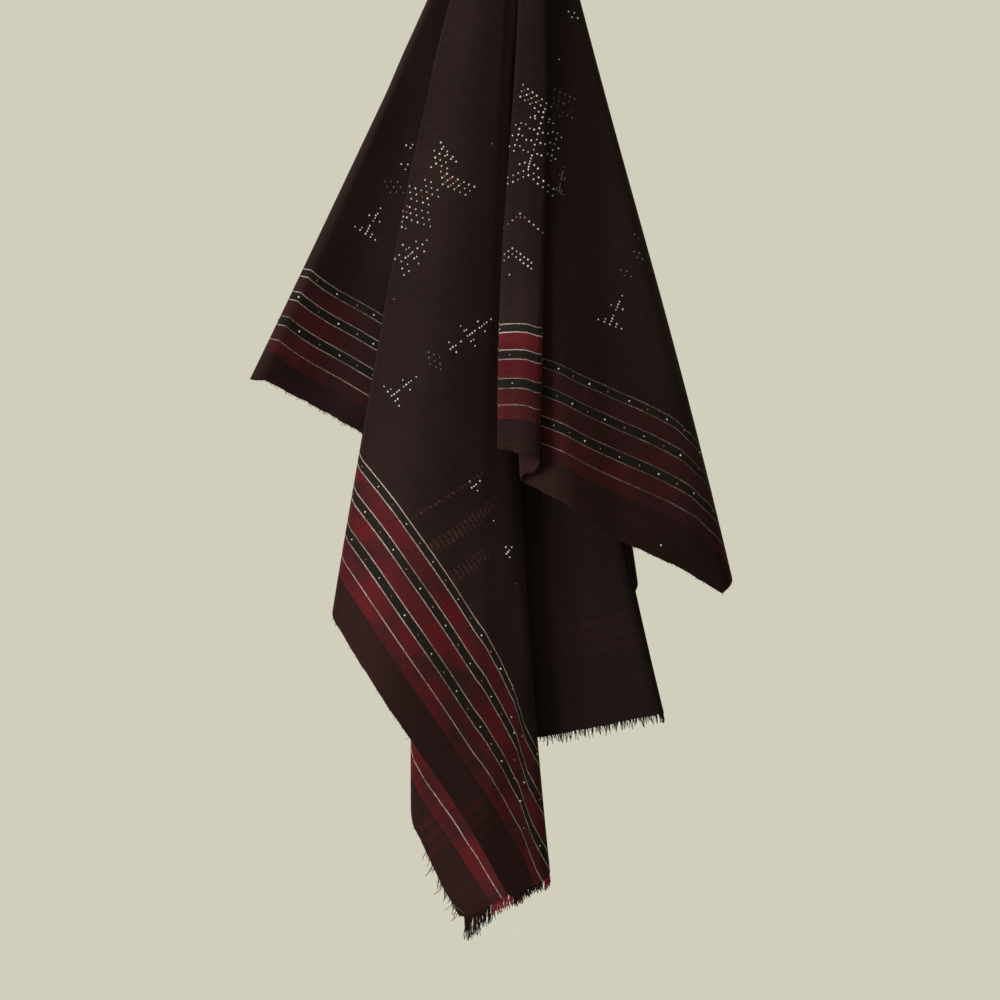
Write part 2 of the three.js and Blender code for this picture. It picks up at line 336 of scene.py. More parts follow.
def smooth(places: np.ndarray, values: np.ndarray, place: float) -> np.ndarray:
    """Reads a smooth curve through the rows of a table.

    Args:
        places: where each row stands, rising.
        values: the rows.
        place: where to read.

    Returns:
        One value for each column of the table.
    """
    last = len(places) - 2
    i = min(max(int(np.searchsorted(places, place, side="left")) - 1, 0), last)
    span = places[i + 1] - places[i]
    low = i - 1 if i > 0 else i
    high = i + 2 if i < last else i + 1
    start_slope = (values[i + 1] - values[low]) / (places[i + 1] - places[low]) * span
    end_slope = (values[high] - values[i]) / (places[high] - places[i]) * span
    t = (place - places[i]) / span
    return (
        values[i] * (2 * t**3 - 3 * t**2 + 1)
        + start_slope * (t**3 - 2 * t**2 + t)
        + values[i + 1] * (3 * t**2 - 2 * t**3)
        + end_slope * (t**3 - t**2)
    )


@dataclass
class Drape:
    """Where each point of the flat cloth hangs."""

    cloth: FlatCloth = field(default_factory=FlatCloth)
    rows: int = 96
    shown_step: float = 0.5
    hidden_step: float = 1.4
    turn_steps: int = 7
    neck_drop: float = 30.0
    neck_pitch: float = 2.6
    depth_radius: float = 500.0
    depth_growth: float = 0.8
    turn_cloth: float = 1.1
    neck_turn: float = 2.4
    widest_turn: float = 10.0
    ripple_height: float = 1.5
    ripple_span: float = 14.0
    ripple_rise: float = 3.0
    share: np.ndarray = field(init=False)
    columns: list[Column] = field(init=False)
    angles: np.ndarray = field(init=False)
    points: np.ndarray = field(init=False)
    normals: np.ndarray = field(init=False)
    flat: np.ndarray = field(init=False)
    border: np.ndarray = field(init=False)

    def __post_init__(self) -> None:
        """Folds the cloth, then presses the creases into it."""
        self.share = np.linspace(0, 1, self.rows + 1)
        self.columns = self.fold_cloth()
        self.angles = np.array([column.cloth for column in self.columns])
        self.points = np.array([column.points for column in self.columns])
        radius = np.array([column.reach for column in self.columns])[:, None] * self.share
        turn = np.radians(self.angles)[:, None]
        self.flat = np.stack([radius * np.cos(turn), radius * np.sin(turn)], axis=-1)
        edge = self.cloth.half_width - np.abs(self.flat[..., 0])
        self.border = np.stack([edge - wander(self.angles)[:, None], self.flat[..., 1]], axis=-1)
        self.normals = self.find_normals()
        self.press_creases()
        self.normals = self.find_normals()

    def panels(self) -> list[Panel]:
        """Sets out the panels between the folds.

        Returns:
            The panels, in the cloth's order.
        """
        starts = [i for i, row in enumerate(FOLDS) if row.turn is Turn.FOLD]
        layers = [FOLDS[i].layer for i in starts]
        made = []
        for n, start in enumerate(starts):
            end = starts[n + 1] if n + 1 < len(starts) else len(FOLDS)
            last = FOLDS[end % len(FOLDS)]
            rows = FOLDS[start:end]
            cloth = [row.cloth for row in rows] + [last.cloth + (FULL_TURN if end == len(FOLDS) else 0)]
            cloth[0] = rows[0].cloth_after + self.turn_cloth
            cloth[-1] -= self.turn_cloth
            values = [[row.seen, row.neck, row.bow, row.sway, row.after] for row in rows]
            values.append([last.seen, last.neck, last.bow, last.sway, last.before])
            outward = math.copysign(1, rows[0].seen - last.seen)
            made.append(
                Panel(
                    layer=layers[n],
                    previous=layers[n - 1],
                    next=layers[(n + 1) % len(layers)],
                    cloth=np.array(cloth, dtype=float),
                    values=np.array(values, dtype=float),
                    first=rows[0],
                    last=last,
                    outward=outward,
                )
            )
        return made

    def depth(self, layer: Layer, depth: float, radius: np.ndarray) -> np.ndarray:
        """Reads how far towards the wall a layer is.

        Args:
            layer: the layer.
            depth: its depth at the table's distance from the hang point.
            radius: the distances from the hang point.

        Returns:
            The depth at each distance.
        """
        neck = (layer.value - (len(Layer) - 1) / 2) * self.neck_pitch
        return neck + (depth - neck) * (radius / self.depth_radius) ** self.depth_growth

    def line(
        self, seen: float, neck: float, bow: float, sway: float, reach: float
    ) -> tuple[np.ndarray, np.ndarray]:
        """Draws a column in front view.

        Args:
            seen: its angle from the vertical.
            neck: where it starts at the neck.
            bow: how far its middle leaves the straight line.
            sway: how far it swings to one side and then to the other.
            reach: the distance from the hang point to the hem.

        Returns:
            The places to the right and up.
        """
        t = self.share
        x = neck + (math.sin(math.radians(seen)) * reach - neck) * t
        z = -self.neck_drop + (self.neck_drop - math.cos(math.radians(seen)) * reach) * t
        return x + bow * 4 * t * (1 - t) + sway * np.sin(2 * np.pi * t), z

    def ripple(self, cloth: float) -> np.ndarray:
        """Returns how far each point of a column waves out of its fold."""
        wave = self.ripple_height * math.sin(2 * math.pi * cloth / self.ripple_span)
        return wave * self.share**self.ripple_rise

    def turn_size(self, half: np.ndarray, radius: np.ndarray) -> np.ndarray:
        """Returns how far from a fold's edge its rounding starts."""
        widest = self.neck_turn + (self.widest_turn - self.neck_turn) * radius / self.depth_radius
        return np.minimum(np.abs(half), widest)

    def panel_column(self, panel: Panel, cloth: float) -> Column:
        """Lays one column of a panel.

        Args:
            panel: the panel.
            cloth: the column's angle in the flat cloth.

        Returns:
            The column.
        """
        seen, neck, bow, sway, depth = smooth(panel.cloth, panel.values, cloth)
        share = (cloth - panel.cloth[0]) / (panel.cloth[-1] - panel.cloth[0])
        reach = self.cloth.reach(cloth)
        radius = reach * self.share
        x, z = self.line(seen, neck, bow, sway, reach)
        start = self.depth(panel.layer, panel.first.after, radius)
        start = (start - self.depth(panel.previous, panel.first.before, radius)) / 2
        end = self.depth(panel.next, panel.last.after, radius)
        end = (end - self.depth(panel.layer, panel.last.before, radius)) / 2
        inset = self.turn_size(end, radius) * share - self.turn_size(start, radius) * (1 - share)
        y = self.depth(panel.layer, depth, radius) + self.ripple(cloth)
        return Column(panel.layer, cloth, reach, np.stack([x + panel.outward * inset, y, z], axis=-1))

    def fold_columns(self, panel: Panel) -> list[Column]:
        """Lays the columns round the fold at which a panel starts.

        Args:
            panel: the panel.

        Returns:
            The columns, from the panel before it to this one.
        """
        fold = panel.first
        start = fold.cloth - self.turn_cloth
        end = fold.cloth_after + self.turn_cloth
        made = []
        for step in range(1, self.turn_steps + 1):
            share = step / (self.turn_steps + 1)
            angle = math.pi * share
            reach = self.cloth.reach(start) * (1 - share) + self.cloth.reach(end) * share
            radius = reach * self.share
            x, z = self.line(fold.seen, fold.neck, fold.bow, fold.sway, reach)
            near = self.depth(panel.previous, fold.before, radius)
            far = self.depth(panel.layer, fold.after, radius)
            half = (far - near) / 2
            inset = panel.outward * self.turn_size(half, radius) * (1 - math.sin(angle))
            wave = self.ripple(start) * (1 - share) + self.ripple(end) * share
            y = (near + far) / 2 - half * math.cos(angle) + wave
            cloth = start + (end - start) * self.passed(fold, share)
            made.append(Column(panel.layer, cloth, reach, np.stack([x - inset, y, z], axis=-1)))
        return made

    @staticmethod
    def passed(fold: FoldRow, share: float) -> float:
        """Tells how much of a fold's cloth is behind one of its columns.

        Args:
            fold: the fold.
            share: how far round it the column is.

        Returns:
            The share of the cloth. A pressed fold keeps its tucked cloth on the side that is turned away.
        """
        if fold.cloth == fold.cloth_after:
            return share
        return share**4 if fold.before < fold.after else 1 - (1 - share) ** 4

    def fold_cloth(self) -> list[Column]:
        """Lays every column round the cloth.

        Returns:
            The columns, in the cloth's order.
        """
        made = []
        for panel in self.panels():
            step = self.shown_step if panel.layer in SHOWN_LAYERS else self.hidden_step
            count = max(3, math.ceil((panel.cloth[-1] - panel.cloth[0]) / step) + 1)
            made += self.fold_columns(panel)
            places = np.linspace(panel.cloth[0], panel.cloth[-1], count)
            made += [self.panel_column(panel, cloth) for cloth in places]
        return made

    def find_normals(self) -> np.ndarray:
        """Finds the way out of the sheet.

        Returns:
            The normal at each point.
        """
        side = np.roll(self.points, -1, axis=0) - np.roll(self.points, 1, axis=0)
        down = np.gradient(self.points, axis=1)
        normals = np.cross(down, side)
        return normals / np.linalg.norm(normals, axis=-1, keepdims=True)

    def press_creases(self) -> None:
        """Moves the points along their normals, by the creases of their layer."""
        for crease in CREASES:
            here = np.array([column.layer is crease.layer for column in self.columns])
            start = np.array(crease.start, dtype=float)
            way = np.array(crease.end, dtype=float) - start
            offset = self.flat - start
            along = np.clip(offset @ way / (way @ way), 0, 1)
            aside = np.linalg.norm(offset - along[..., None] * way, axis=-1)
            lift = crease.height * np.exp(-((aside / crease.width) ** 2))
            self.points += self.normals * (lift * here[:, None])[..., None]

    def place(self, across: float, along: float) -> Spot:
        """Finds where a point of the flat cloth hangs.

        Args:
            across: its distance from the hang point, across the cloth.
            along: its distance from the hang point, along the cloth.

        Returns:
            The point, the way out of the sheet and the way down the cloth, in mm.
        """
        cloth = cloth_angle(across, along)
        if cloth > self.angles[-1]:
            cloth -= FULL_TURN
        count = len(self.columns)
        i = int(np.searchsorted(self.angles, cloth)) - 1
        before = self.angles[i] - (FULL_TURN if i < 0 else 0)
        share = (cloth - before) / (self.angles[(i + 1) % count] - before)
        found = []
        for n, weight in ((i % count, 1 - share), ((i + 1) % count, share)):
            row = min(math.hypot(across, along) / self.columns[n].reach, 1) * self.rows
            j = min(int(row), self.rows - 1)
            part = row - j
            found.append(weight * (self.points[n, j] * (1 - part) + self.points[n, j + 1] * part))
            found.append(weight * self.normals[n, min(j + 1, self.rows)])
            found.append(weight * (self.points[n, j + 1] - self.points[n, j]))
        point, normal, down = (Vector(found[k] + found[k + 3]) for k in range(3))
        return point, normal.normalized(), down.normalized()


class Graph:
    """Adds nodes to one tree, and links each socket that is given in place of a value."""

    def __init__(self, tree: bpy.types.NodeTree) -> None:
        """Keeps the tree."""
        self.tree = tree

    def feed(self, node: Node, values: dict[int | str, object]) -> None:
        """Fills a node's inputs.

        Args:
            node: the node.
            values: a value or a socket for each input, by its name or number.
        """
        for key, value in values.items():
            if isinstance(value, Socket):
                self.tree.links.new(value, node.inputs[key])
            else:
                node.inputs[key].default_value = value

    def add(self, kind: str, values: dict[int | str, object] | None = None, **settings: object) -> Node:
        """Adds a node.

        Args:
            kind: the node's type.
            values: a value or a socket for each input, by its name or number.
            settings: the node's own properties.

        Returns:
            The node.
        """
        node = self.tree.nodes.new(kind)
        for name, value in settings.items():
            setattr(node, name, value)
        self.feed(node, values or {})
        return node

    def group(self, tree: bpy.types.NodeTree, **values: object) -> dict[str, Socket]:
        """Places a node group with its inputs given by name, and returns its outputs by name."""
        return dict(self.add("ShaderNodeGroup", values, node_tree=tree).outputs.items())

    def math(self, operation: str, *values: object) -> Socket:
        """Returns the result of one sum on numbers or sockets."""
        return self.add("ShaderNodeMath", dict(enumerate(values)), operation=operation).outputs[0]

    def plus(self, first: object, second: object) -> Socket:
        """Returns the sum of two numbers or sockets."""
        return self.math("ADD", first, second)

    def less(self, first: object, second: object) -> Socket:
        """Returns the first number or socket less the second."""
        return self.math("SUBTRACT", first, second)

    def times(self, first: object, second: object) -> Socket:
        """Returns the product of two numbers or sockets."""
        return self.math("MULTIPLY", first, second)

    def over(self, first: object, second: object) -> Socket:
        """Returns the first number or socket divided by the second."""
        return self.math("DIVIDE", first, second)

    def scale(self, vector: object, by: object) -> Socket:
        """Returns a vector or a colour multiplied part by part."""
        return self.add("ShaderNodeVectorMath", {0: vector, 1: by}, operation="MULTIPLY").outputs[0]

    def split(self, vector: object) -> tuple[Socket, Socket]:
        """Returns the first two parts of a vector."""
        parts = self.add("ShaderNodeSeparateXYZ", {0: vector}).outputs
        return parts[0], parts[1]

    def mix(self, share: object, first: object, second: object) -> Socket:
        """Returns a colour between two others, each a socket or three numbers."""
        ends = [end if isinstance(end, Socket) else (*end, 1) for end in (first, second)]
        return self.add("ShaderNodeMix", {0: share, 6: ends[0], 7: ends[1]}, data_type="RGBA").outputs[2]

    def noise(self, vector: object, scale: float, detail: float = 2.0) -> Socket:
        """Returns a noise between 0 and 1."""
        values = {"Vector": vector, "Scale": scale, "Detail": detail}
        return self.add("ShaderNodeTexNoise", values).outputs["Fac"]

    def ramp(self, value: object, low: float, high: float, top: float = 1.0, bottom: float = 0.0) -> Socket:
        """Returns the bottom value at the low place and the top value at the high one."""
        values = {"Value": value, "From Min": low, "From Max": high, "To Min": bottom, "To Max": top}
        return self.add("ShaderNodeMapRange", values, clamp=True).outputs[0]

    def band(self, place: object, centre: float, half: float, soft: float) -> Socket:
        """Returns 1 inside a stripe and 0 outside it.

        Args:
            place: the distance that is measured.
            centre: the middle of the stripe.
            half: half of its width.
            soft: how far its edge fades.

        Returns:
            The mask.
        """
        return self.ramp(self.math("ABSOLUTE", self.less(place, centre)), half + soft, half - soft)

    def bump(self, strength: float, distance: float, height: object) -> Socket:
        """Returns the normals of a relief."""
        values = {"Strength": strength, "Distance": distance, "Height": height}
        return self.add("ShaderNodeBump", values).outputs[0]


def new_group(
    name: str, inputs: dict[str, object], outputs: tuple[str, ...]
) -> tuple[Graph, dict[str, Socket], Node]:
    """Starts a shader node group.

    Args:
        name: the group's name.
        inputs: each input's first value, three numbers for a vector.
        outputs: each output's name. Color is a colour and the others are values.

    Returns:
        The group's graph, its inputs by name and the node that takes its outputs.
    """
    tree = bpy.data.node_groups.new(name, "ShaderNodeTree")
    for label, value in inputs.items():
        kind = "NodeSocketVector" if isinstance(value, tuple) else "NodeSocketFloat"
        tree.interface.new_socket(name=label, in_out="INPUT", socket_type=kind).default_value = value
    for label in outputs:
        kind = "NodeSocketColor" if label == "Color" else "NodeSocketFloat"
        tree.interface.new_socket(name=label, in_out="OUTPUT", socket_type=kind)
    graph = Graph(tree)
    return graph, dict(graph.add("NodeGroupInput").outputs.items()), graph.add("NodeGroupOutput")


@dataclass(frozen=True)
class Blotches:
    """Soft patches of noise on the flat cloth."""

    fineness: float
    low: float
    high: float
    detail: float = 2.0

    def mask(self, graph: Graph, place: Socket, shift: object = 0.0) -> Socket:
        """Returns 0 between the patches and 1 inside them. A higher shift makes them larger."""
        noise = graph.plus(graph.noise(place, self.fineness, self.detail), shift)
        return graph.ramp(noise, self.low, self.high)


@dataclass(frozen=True)
class Weave:
    """The plain weave of slightly uneven wool threads."""

    spacing: float = 1.3
    wander: float = 0.5
    drift_fineness: float = 55.0
    crossing: float = 0.3
    streaks: tuple[tuple[float, float, float], ...] = ((900, 14, 0), (14, 900, 0))

    def group(self) -> bpy.types.NodeTree:
        """Builds the group.

        Returns:
            A group that turns flat cloth metres into a height and a tone.
        """
        inputs = {"Flat": (0, 0, 0), "Spacing": self.spacing * MM, "Wander": self.wander * MM}
        graph, given, result = new_group("plain_weave", inputs, ("Height", "Tone"))
        flat = given["Flat"]
        drift = graph.times(graph.less(graph.noise(flat, self.drift_fineness), 0.5), given["Wander"])
        waves = []
        for place in graph.split(flat):
            turns = graph.over(graph.plus(place, drift), given["Spacing"])
            waves.append(graph.math("SINE", graph.times(turns, math.pi)))
        warp_on_top = graph.ramp(graph.times(*waves), -self.crossing, self.crossing)
        warp = graph.times(graph.math("ABSOLUTE", waves[0]), warp_on_top)
        weft = graph.times(graph.math("ABSOLUTE", waves[1]), graph.less(1.0, warp_on_top))
        tones = [graph.noise(graph.scale(flat, streak), 1.0, 1.0) for streak in self.streaks]
        graph.feed(result, {"Height": graph.plus(warp, weft), "Tone": graph.times(graph.plus(*tones), 0.5)})
        return graph.tree


@dataclass(frozen=True)
class Stripe:
    """A woven stripe that starts at a distance from the long edge."""

    start: float
    yarn: Yarn


@dataclass(frozen=True)
class SideBorder:
    """The striped border along both long edges."""

    reach: float = 112.0
    waver: float = 0.5
    waver_fineness: float = 350.0
    stripes: tuple[Stripe, ...] = (
        Stripe(0.0, Yarn.BROWN),
        Stripe(28.0, Yarn.RED),
        Stripe(39.1, Yarn.WHITE),
        Stripe(40.0, Yarn.RED),
        Stripe(53.3, Yarn.WHITE),
        Stripe(54.2, Yarn.DARK),
        Stripe(61.5, Yarn.WHITE),
        Stripe(62.4, Yarn.RED),
        Stripe(77.5, Yarn.WHITE),
        Stripe(78.4, Yarn.DARK),
        Stripe(85.5, Yarn.WHITE),
        Stripe(86.4, Yarn.RED),
        Stripe(100.2, Yarn.WHITE),
        Stripe(101.1, Yarn.DARK),
        Stripe(107.5, Yarn.WHITE),
        Stripe(108.4, Yarn.GROUND),
    )

    def group(self, dyes: dict[Yarn, Color]) -> bpy.types.NodeTree:
        """Builds the group.

        Args:
            dyes: the colour of each yarn.

        Returns:
            A group that turns the distance from the long edge into a colour and masks of white and of red.
        """
        inputs = {"Edge": 0.0, "Flat": (0, 0, 0)}
        graph, given, result = new_group("side_border", inputs, ("Color", "Line", "Red"))
        stagger = graph.less(graph.noise(given["Flat"], self.waver_fineness), 0.5)
        edge = graph.plus(given["Edge"], graph.times(stagger, self.waver * MM))
        place = graph.over(edge, self.reach * MM)
        for name, masked in (("Color", None), ("Line", Yarn.WHITE), ("Red", Yarn.RED)):
            ramp = graph.add("ShaderNodeValToRGB", {0: place})
            ramp.color_ramp.interpolation = "CONSTANT"
            stops = ramp.color_ramp.elements
            while len(stops) < len(self.stripes):
                stops.new(0.5)
            for stop, stripe in zip(stops, self.stripes):
                stop.position = stripe.start / self.reach
                stop.color = (*([float(stripe.yarn is masked)] * 3 if masked else dyes[stripe.yarn]), 1)
            graph.feed(result, {name: ramp.outputs[0]})
        return graph.tree


@dataclass(frozen=True)
class DashedBand:
    """A band of fine dashes that runs inwards from the side border."""

    height: float
    half: float
    inner: float
    strength: float


@dataclass(frozen=True)
class EndBorder:
    """The faint red stripes and dashed bands near the low end."""

    stripes: tuple[float, ...] = (65.0, 76.5, 88.0)
    stripe_half: float = 3.0
    stripe_soft: float = 1.2
    plain_middle: float = 190.0
    plain_half: float = 95.0
    plain_soft: float = 30.0
    bands: tuple[DashedBand, ...] = (
        DashedBand(318.0, 1.1, 300.0, 0.6),
        DashedBand(289.0, 6.0, 308.0, 0.36),
        DashedBand(259.5, 6.0, 330.0, 0.3),
        DashedBand(230.0, 4.5, 366.0, 0.16),
    )
    band_soft: float = 0.7
    outer: float = 109.0
    outer_soft: float = 1.0
    dash_pitch: float = 2.3
    dash_edges: tuple[float, float] = (0.25, 0.7)
    fade: float = 22.0
    unbroken: Blotches = Blotches(330.0, 0.4, 0.62, 3.0)

    def group(self) -> bpy.types.NodeTree:
        """Builds the group.

        Returns:
            A group that turns the distance from the low end into masks of stripes and dashes.
        """
        inputs = {"End": 0.0, "Across": 0.0, "Edge": 0.0, "Flat": (0, 0, 0)}
        graph, given, result = new_group("end_border", inputs, ("Stripes", "Dashes"))
        end, across = given["End"], given["Across"]
        stripes, dashes = 0.0, 0.0
        for centre in self.stripes:
            stripe = graph.band(end, centre * MM, self.stripe_half * MM, self.stripe_soft * MM)
            stripes = graph.plus(stripe, stripes)
        plain = graph.band(across, self.plain_middle * MM, self.plain_half * MM, self.plain_soft * MM)
        for band in self.bands:
            row = graph.band(end, band.height * MM, band.half * MM, self.band_soft * MM)
            row = graph.times(row, graph.ramp(across, band.inner * MM, (band.inner + self.fade) * MM))
            dashes = graph.plus(graph.times(row, band.strength), dashes)
        tick = graph.math("PINGPONG", graph.over(across, self.dash_pitch * MM), 1.0)
        inside = graph.ramp(given["Edge"], self.outer * MM, (self.outer + self.outer_soft) * MM)
        for part in (inside, graph.ramp(tick, *self.dash_edges), self.unbroken.mask(graph, given["Flat"])):
            dashes = graph.times(dashes, part)
        graph.feed(result, {"Stripes": graph.times(stripes, graph.less(1.0, plain)), "Dashes": dashes})
        return graph.tree


@dataclass(frozen=True)
class PaintedShadeOval:
    """A soft oval of the flat cloth that is darker by a depth, or paler where that is negative.

    Mostly it paints shade where it is darker, and paints light where it is paler. Its width and length run
    from its middle to its edge. Patchy is how much more of its red is patched with painted shade.
    """

    across: float
    along: float
    width: float
    length: float
    depth: float
    patchy: float = 0.0


PAINTED_SHADE_OVALS = (
    # Painted shade on the back panel, behind the front panel and the flap.
    PaintedShadeOval(100, 640, 125, 330, 0.26),
    # Painted shade at the flap's far tip, where it turns away.
    PaintedShadeOval(-490, -415, 90, 75, 0.38),
    # Darker across the top of the cloth, near the hang point.
    PaintedShadeOval(-160, -36, 260, 62, 0.34),
    # Painted shade on the flap's main panel, which faces away from the lamp.
    PaintedShadeOval(-430, -270, 80, 120, 0.16),
    # Darker on the brown hem of the flap's pleat.
    PaintedShadeOval(-495, -90, 20, 55, 0.16),
    # Darker, and less patchy red, on the flap's pleat.
    PaintedShadeOval(-452, -85, 45, 60, 0.34, -0.12),
    # Painted light: paler at the second layer's tip.
    PaintedShadeOval(-400, 690, 130, 140, -0.28),
    # Painted shade on the left panel, with more of its red patched with painted shade.
    PaintedShadeOval(450, 100, 100, 170, 0.3, 0.11),
    # Painted shade low on the front panel, beside its right fold.
    PaintedShadeOval(450, 640, 110, 120, 0.2),
)

# Where an oval starts and where it is at its full depth, as squared shares of its size.
PAINTED_SHADE_OVAL_EDGES = (1.3, 0.3)


def painted_shade_ovals() -> bpy.types.NodeTree:
    """Builds the group of painted shade ovals.

    Returns:
        A group that turns flat cloth metres into a tone of painted shade and light, 1 where there is none,
        and into how much patchier the red is there.
    """
    graph, given, result = new_group("painted_shade_ovals", {"Flat": (0, 0, 0)}, ("Tone", "Patchy"))
    places = graph.split(given["Flat"])
    tone, patchy = 1.0, 0.0
    for shade_oval in PAINTED_SHADE_OVALS:
        far = 0.0
        for place, middle, size in zip(places, (shade_oval.across, shade_oval.along), (shade_oval.width, shade_oval.length)):
            aside = graph.over(graph.less(place, middle * MM), size * MM)
            far = graph.plus(graph.times(aside, aside), far)
        inside = graph.ramp(far, *PAINTED_SHADE_OVAL_EDGES)
        tone = graph.times(graph.less(1.0, graph.times(inside, shade_oval.depth)), tone)
        patchy = graph.plus(graph.times(inside, shade_oval.patchy), patchy)
    graph.feed(result, {"Tone": tone, "Patchy": patchy})
    return graph.tree


def new_material(name: str, values: dict[str, object]) -> tuple[bpy.types.Material, Graph, Node]:
    """Makes a material of one shader.

    Args:
        name: the material's name.
        values: the shader's own numbers and colours.

    Returns:
        The material, its graph and its shader.
    """
    material = bpy.data.materials.new(name)
    material.use_nodes = True
    material.node_tree.nodes.clear()
    graph = Graph(material.node_tree)
    shader = graph.add("ShaderNodeBsdfPrincipled", values)
    graph.add("ShaderNodeOutputMaterial", {0: shader.outputs[0]})
    return material, graph, shader


def put(name: str, data: bpy.types.ID) -> bpy.types.Object:
    """Puts something in the scene.

    Args:
        name: the object's name.
        data: its mesh, curve, lens or lamp.

    Returns:
        The object.
    """
    made = bpy.data.objects.new(name, data)
    bpy.context.scene.collection.objects.link(made)
    return made


@dataclass(frozen=True)
class WoolFinish:
    """The dyes and the touch of the wool.

    The tone and speckle ranges give the palest tone first. The flap's rows paint shade on the flap: where
    it starts and where it is full, in metres along the cloth, and how much it is.
    """

    ground: Color = (0.0158, 0.0077, 0.0072)
    brown: Color = (0.0215, 0.0074, 0.0068)
    red: Color = (0.105, 0.0075, 0.0115)
    # The colour that red patches and hidden white lines turn to: random mottle, and painted shade on the flap
    # and in the ovals.
    shade: Color = (0.034, 0.0088, 0.0102)
    white: Color = (0.62, 0.51, 0.47)
    dark: Color = (0.0112, 0.0092, 0.0068)
    ochre: Color = (0.36, 0.22, 0.08)
    rose: Color = (0.33, 0.11, 0.12)
    # Painted light: a red brightened to offset the shade inside the tufts.
    painted_light_red: Color = (0.23, 0.016, 0.034)
    green: Color = (0.09, 0.15, 0.09)
    grey: Color = (0.15, 0.14, 0.125)
    bright: Color = (0.72, 0.66, 0.61)
    worn: Color = (0.06, 0.032, 0.029)
    beads: Blotches = Blotches(620.0, 0.36, 0.6)
    bead_contrast: float = 0.45
    faint: Blotches = Blotches(26.0, 0.42, 0.62)
    faint_contrast: float = 0.35
    most_hidden: float = 0.88
    patches: Blotches = Blotches(21.0, 0.4, 0.66, 3.0)
    # Painted shade on the flap: more hidden white lines, and more red patched with the shade colour.
    flap_painted_shade_lines: tuple[float, float, float] = (-0.1, -0.16, 0.4)
    flap_painted_shade_patches: tuple[float, float, float] = (-0.11, -0.16, 0.16)
    end_stripes: Blotches = Blotches(34.0, 0.35, 0.7)
    stripe_strength: float = 0.26
    dash_strength: float = 0.55
    fading: Blotches = Blotches(9.0, 0.3, 0.7, 3.0)
    fading_strength: float = 0.12
    noise_range: tuple[float, float] = (0.3, 0.7)
    tone_range: tuple[float, float] = (1.22, 0.78)
    # Painted shade in the weave's hollows: the tone left there, and how much lighter the thread tops get.
    painted_hollow_shade: float = 0.7
    painted_shade_relief: float = 0.5
    roughness: float = 0.98
    roughness_change: float = 0.12
    nap_fineness: float = 420.0
    nap_relief: float = 0.6
    line_relief: float = 0.9
    bump_strength: float = 0.6
    bump_height: float = 0.25
    speckle_fineness: float = 900.0
    speckle_range: tuple[float, float] = (1.2, 0.65)
    thread_roughness: float = 0.75
    thread_roughness_change: float = 0.2
    thread_bump_strength: float = 0.5
    thread_bump_height: float = 0.15
    specular: float = 0.12
    sheen: float = 0.05
    sheen_roughness: float = 0.6
    sheen_tint: tuple[float, float, float, float] = (0.32, 0.2, 0.18, 1)

    def dyes(self) -> dict[Yarn, Color]:
        """Returns the colour of each yarn."""
        return {yarn: getattr(self, yarn.name.lower()) for yarn in Yarn}

    def shader_values(self) -> dict[str, object]:
        """Lists what is the same all over the wool.

        Returns:
            A value for each of the shader's own sockets.
        """
        return {
            "Specular IOR Level": self.specular,
            "Sheen Weight": self.sheen,
            "Sheen Roughness": self.sheen_roughness,
            "Sheen Tint": self.sheen_tint,
        }

    def cloth(self, flat: FlatCloth) -> bpy.types.Material:
        """Weaves the cloth's material.

        Args:
            flat: the cloth as it was cut.

        Returns:
            The material.
        """
        material, graph, shader = new_material("woven_wool", self.shader_values())
        place = graph.add("ShaderNodeUVMap", uv_map=FLAT_MAP).outputs[0]
        across, along = graph.split(place)
        edge = graph.split(graph.add("ShaderNodeUVMap", uv_map=BORDER_MAP).outputs[0])[0]
        slant = graph.times(across, flat.low_skew / flat.half_width)
        end = graph.less(graph.less(flat.low_end * MM, slant), along)
        weave = graph.group(Weave().group(), Flat=place)
        sides = graph.group(SideBorder().group(self.dyes()), Flat=place, Edge=edge)
        ends = graph.group(EndBorder().group(), Flat=place, End=end, Across=across, Edge=edge)
        shade_ovals = graph.group(painted_shade_ovals(), Flat=place)

        beads = graph.times(self.beads.mask(graph, place), self.bead_contrast)
        faint = graph.times(self.faint.mask(graph, place), self.faint_contrast)
        # Painted shade on the flap and in the ovals hides more of the white lines.
        faint = graph.plus(faint, graph.ramp(along, *self.flap_painted_shade_lines))
        faint = graph.plus(faint, graph.math("MAXIMUM", shade_ovals["Patchy"], 0.0))
        hidden = graph.math("MINIMUM", graph.plus(beads, faint), self.most_hidden)
        color = graph.mix(graph.times(sides["Line"], hidden), sides["Color"], self.shade)
        # Painted shade on the flap and in the ovals patches more of the red.
        patchy = graph.plus(graph.ramp(along, *self.flap_painted_shade_patches), shade_ovals["Patchy"])
        patches = graph.times(sides["Red"], self.patches.mask(graph, place, patchy))
        color = graph.mix(patches, color, self.shade)
        stripes = graph.times(ends["Stripes"], self.end_stripes.mask(graph, place))
        color = graph.mix(graph.times(stripes, self.stripe_strength), color, self.red)
        color = graph.mix(graph.times(ends["Dashes"], self.dash_strength), color, self.rose)
        worn = graph.mix(self.fading_strength, color, self.worn)
        color = graph.mix(self.fading.mask(graph, place), color, worn)

        tone = graph.ramp(weave["Tone"], *self.noise_range, *self.tone_range)
        # Painted shade: darker in the weave's hollows, lighter on the thread tops.
        tone = graph.times(tone, graph.plus(graph.times(weave["Height"], self.painted_shade_relief), self.painted_hollow_shade))
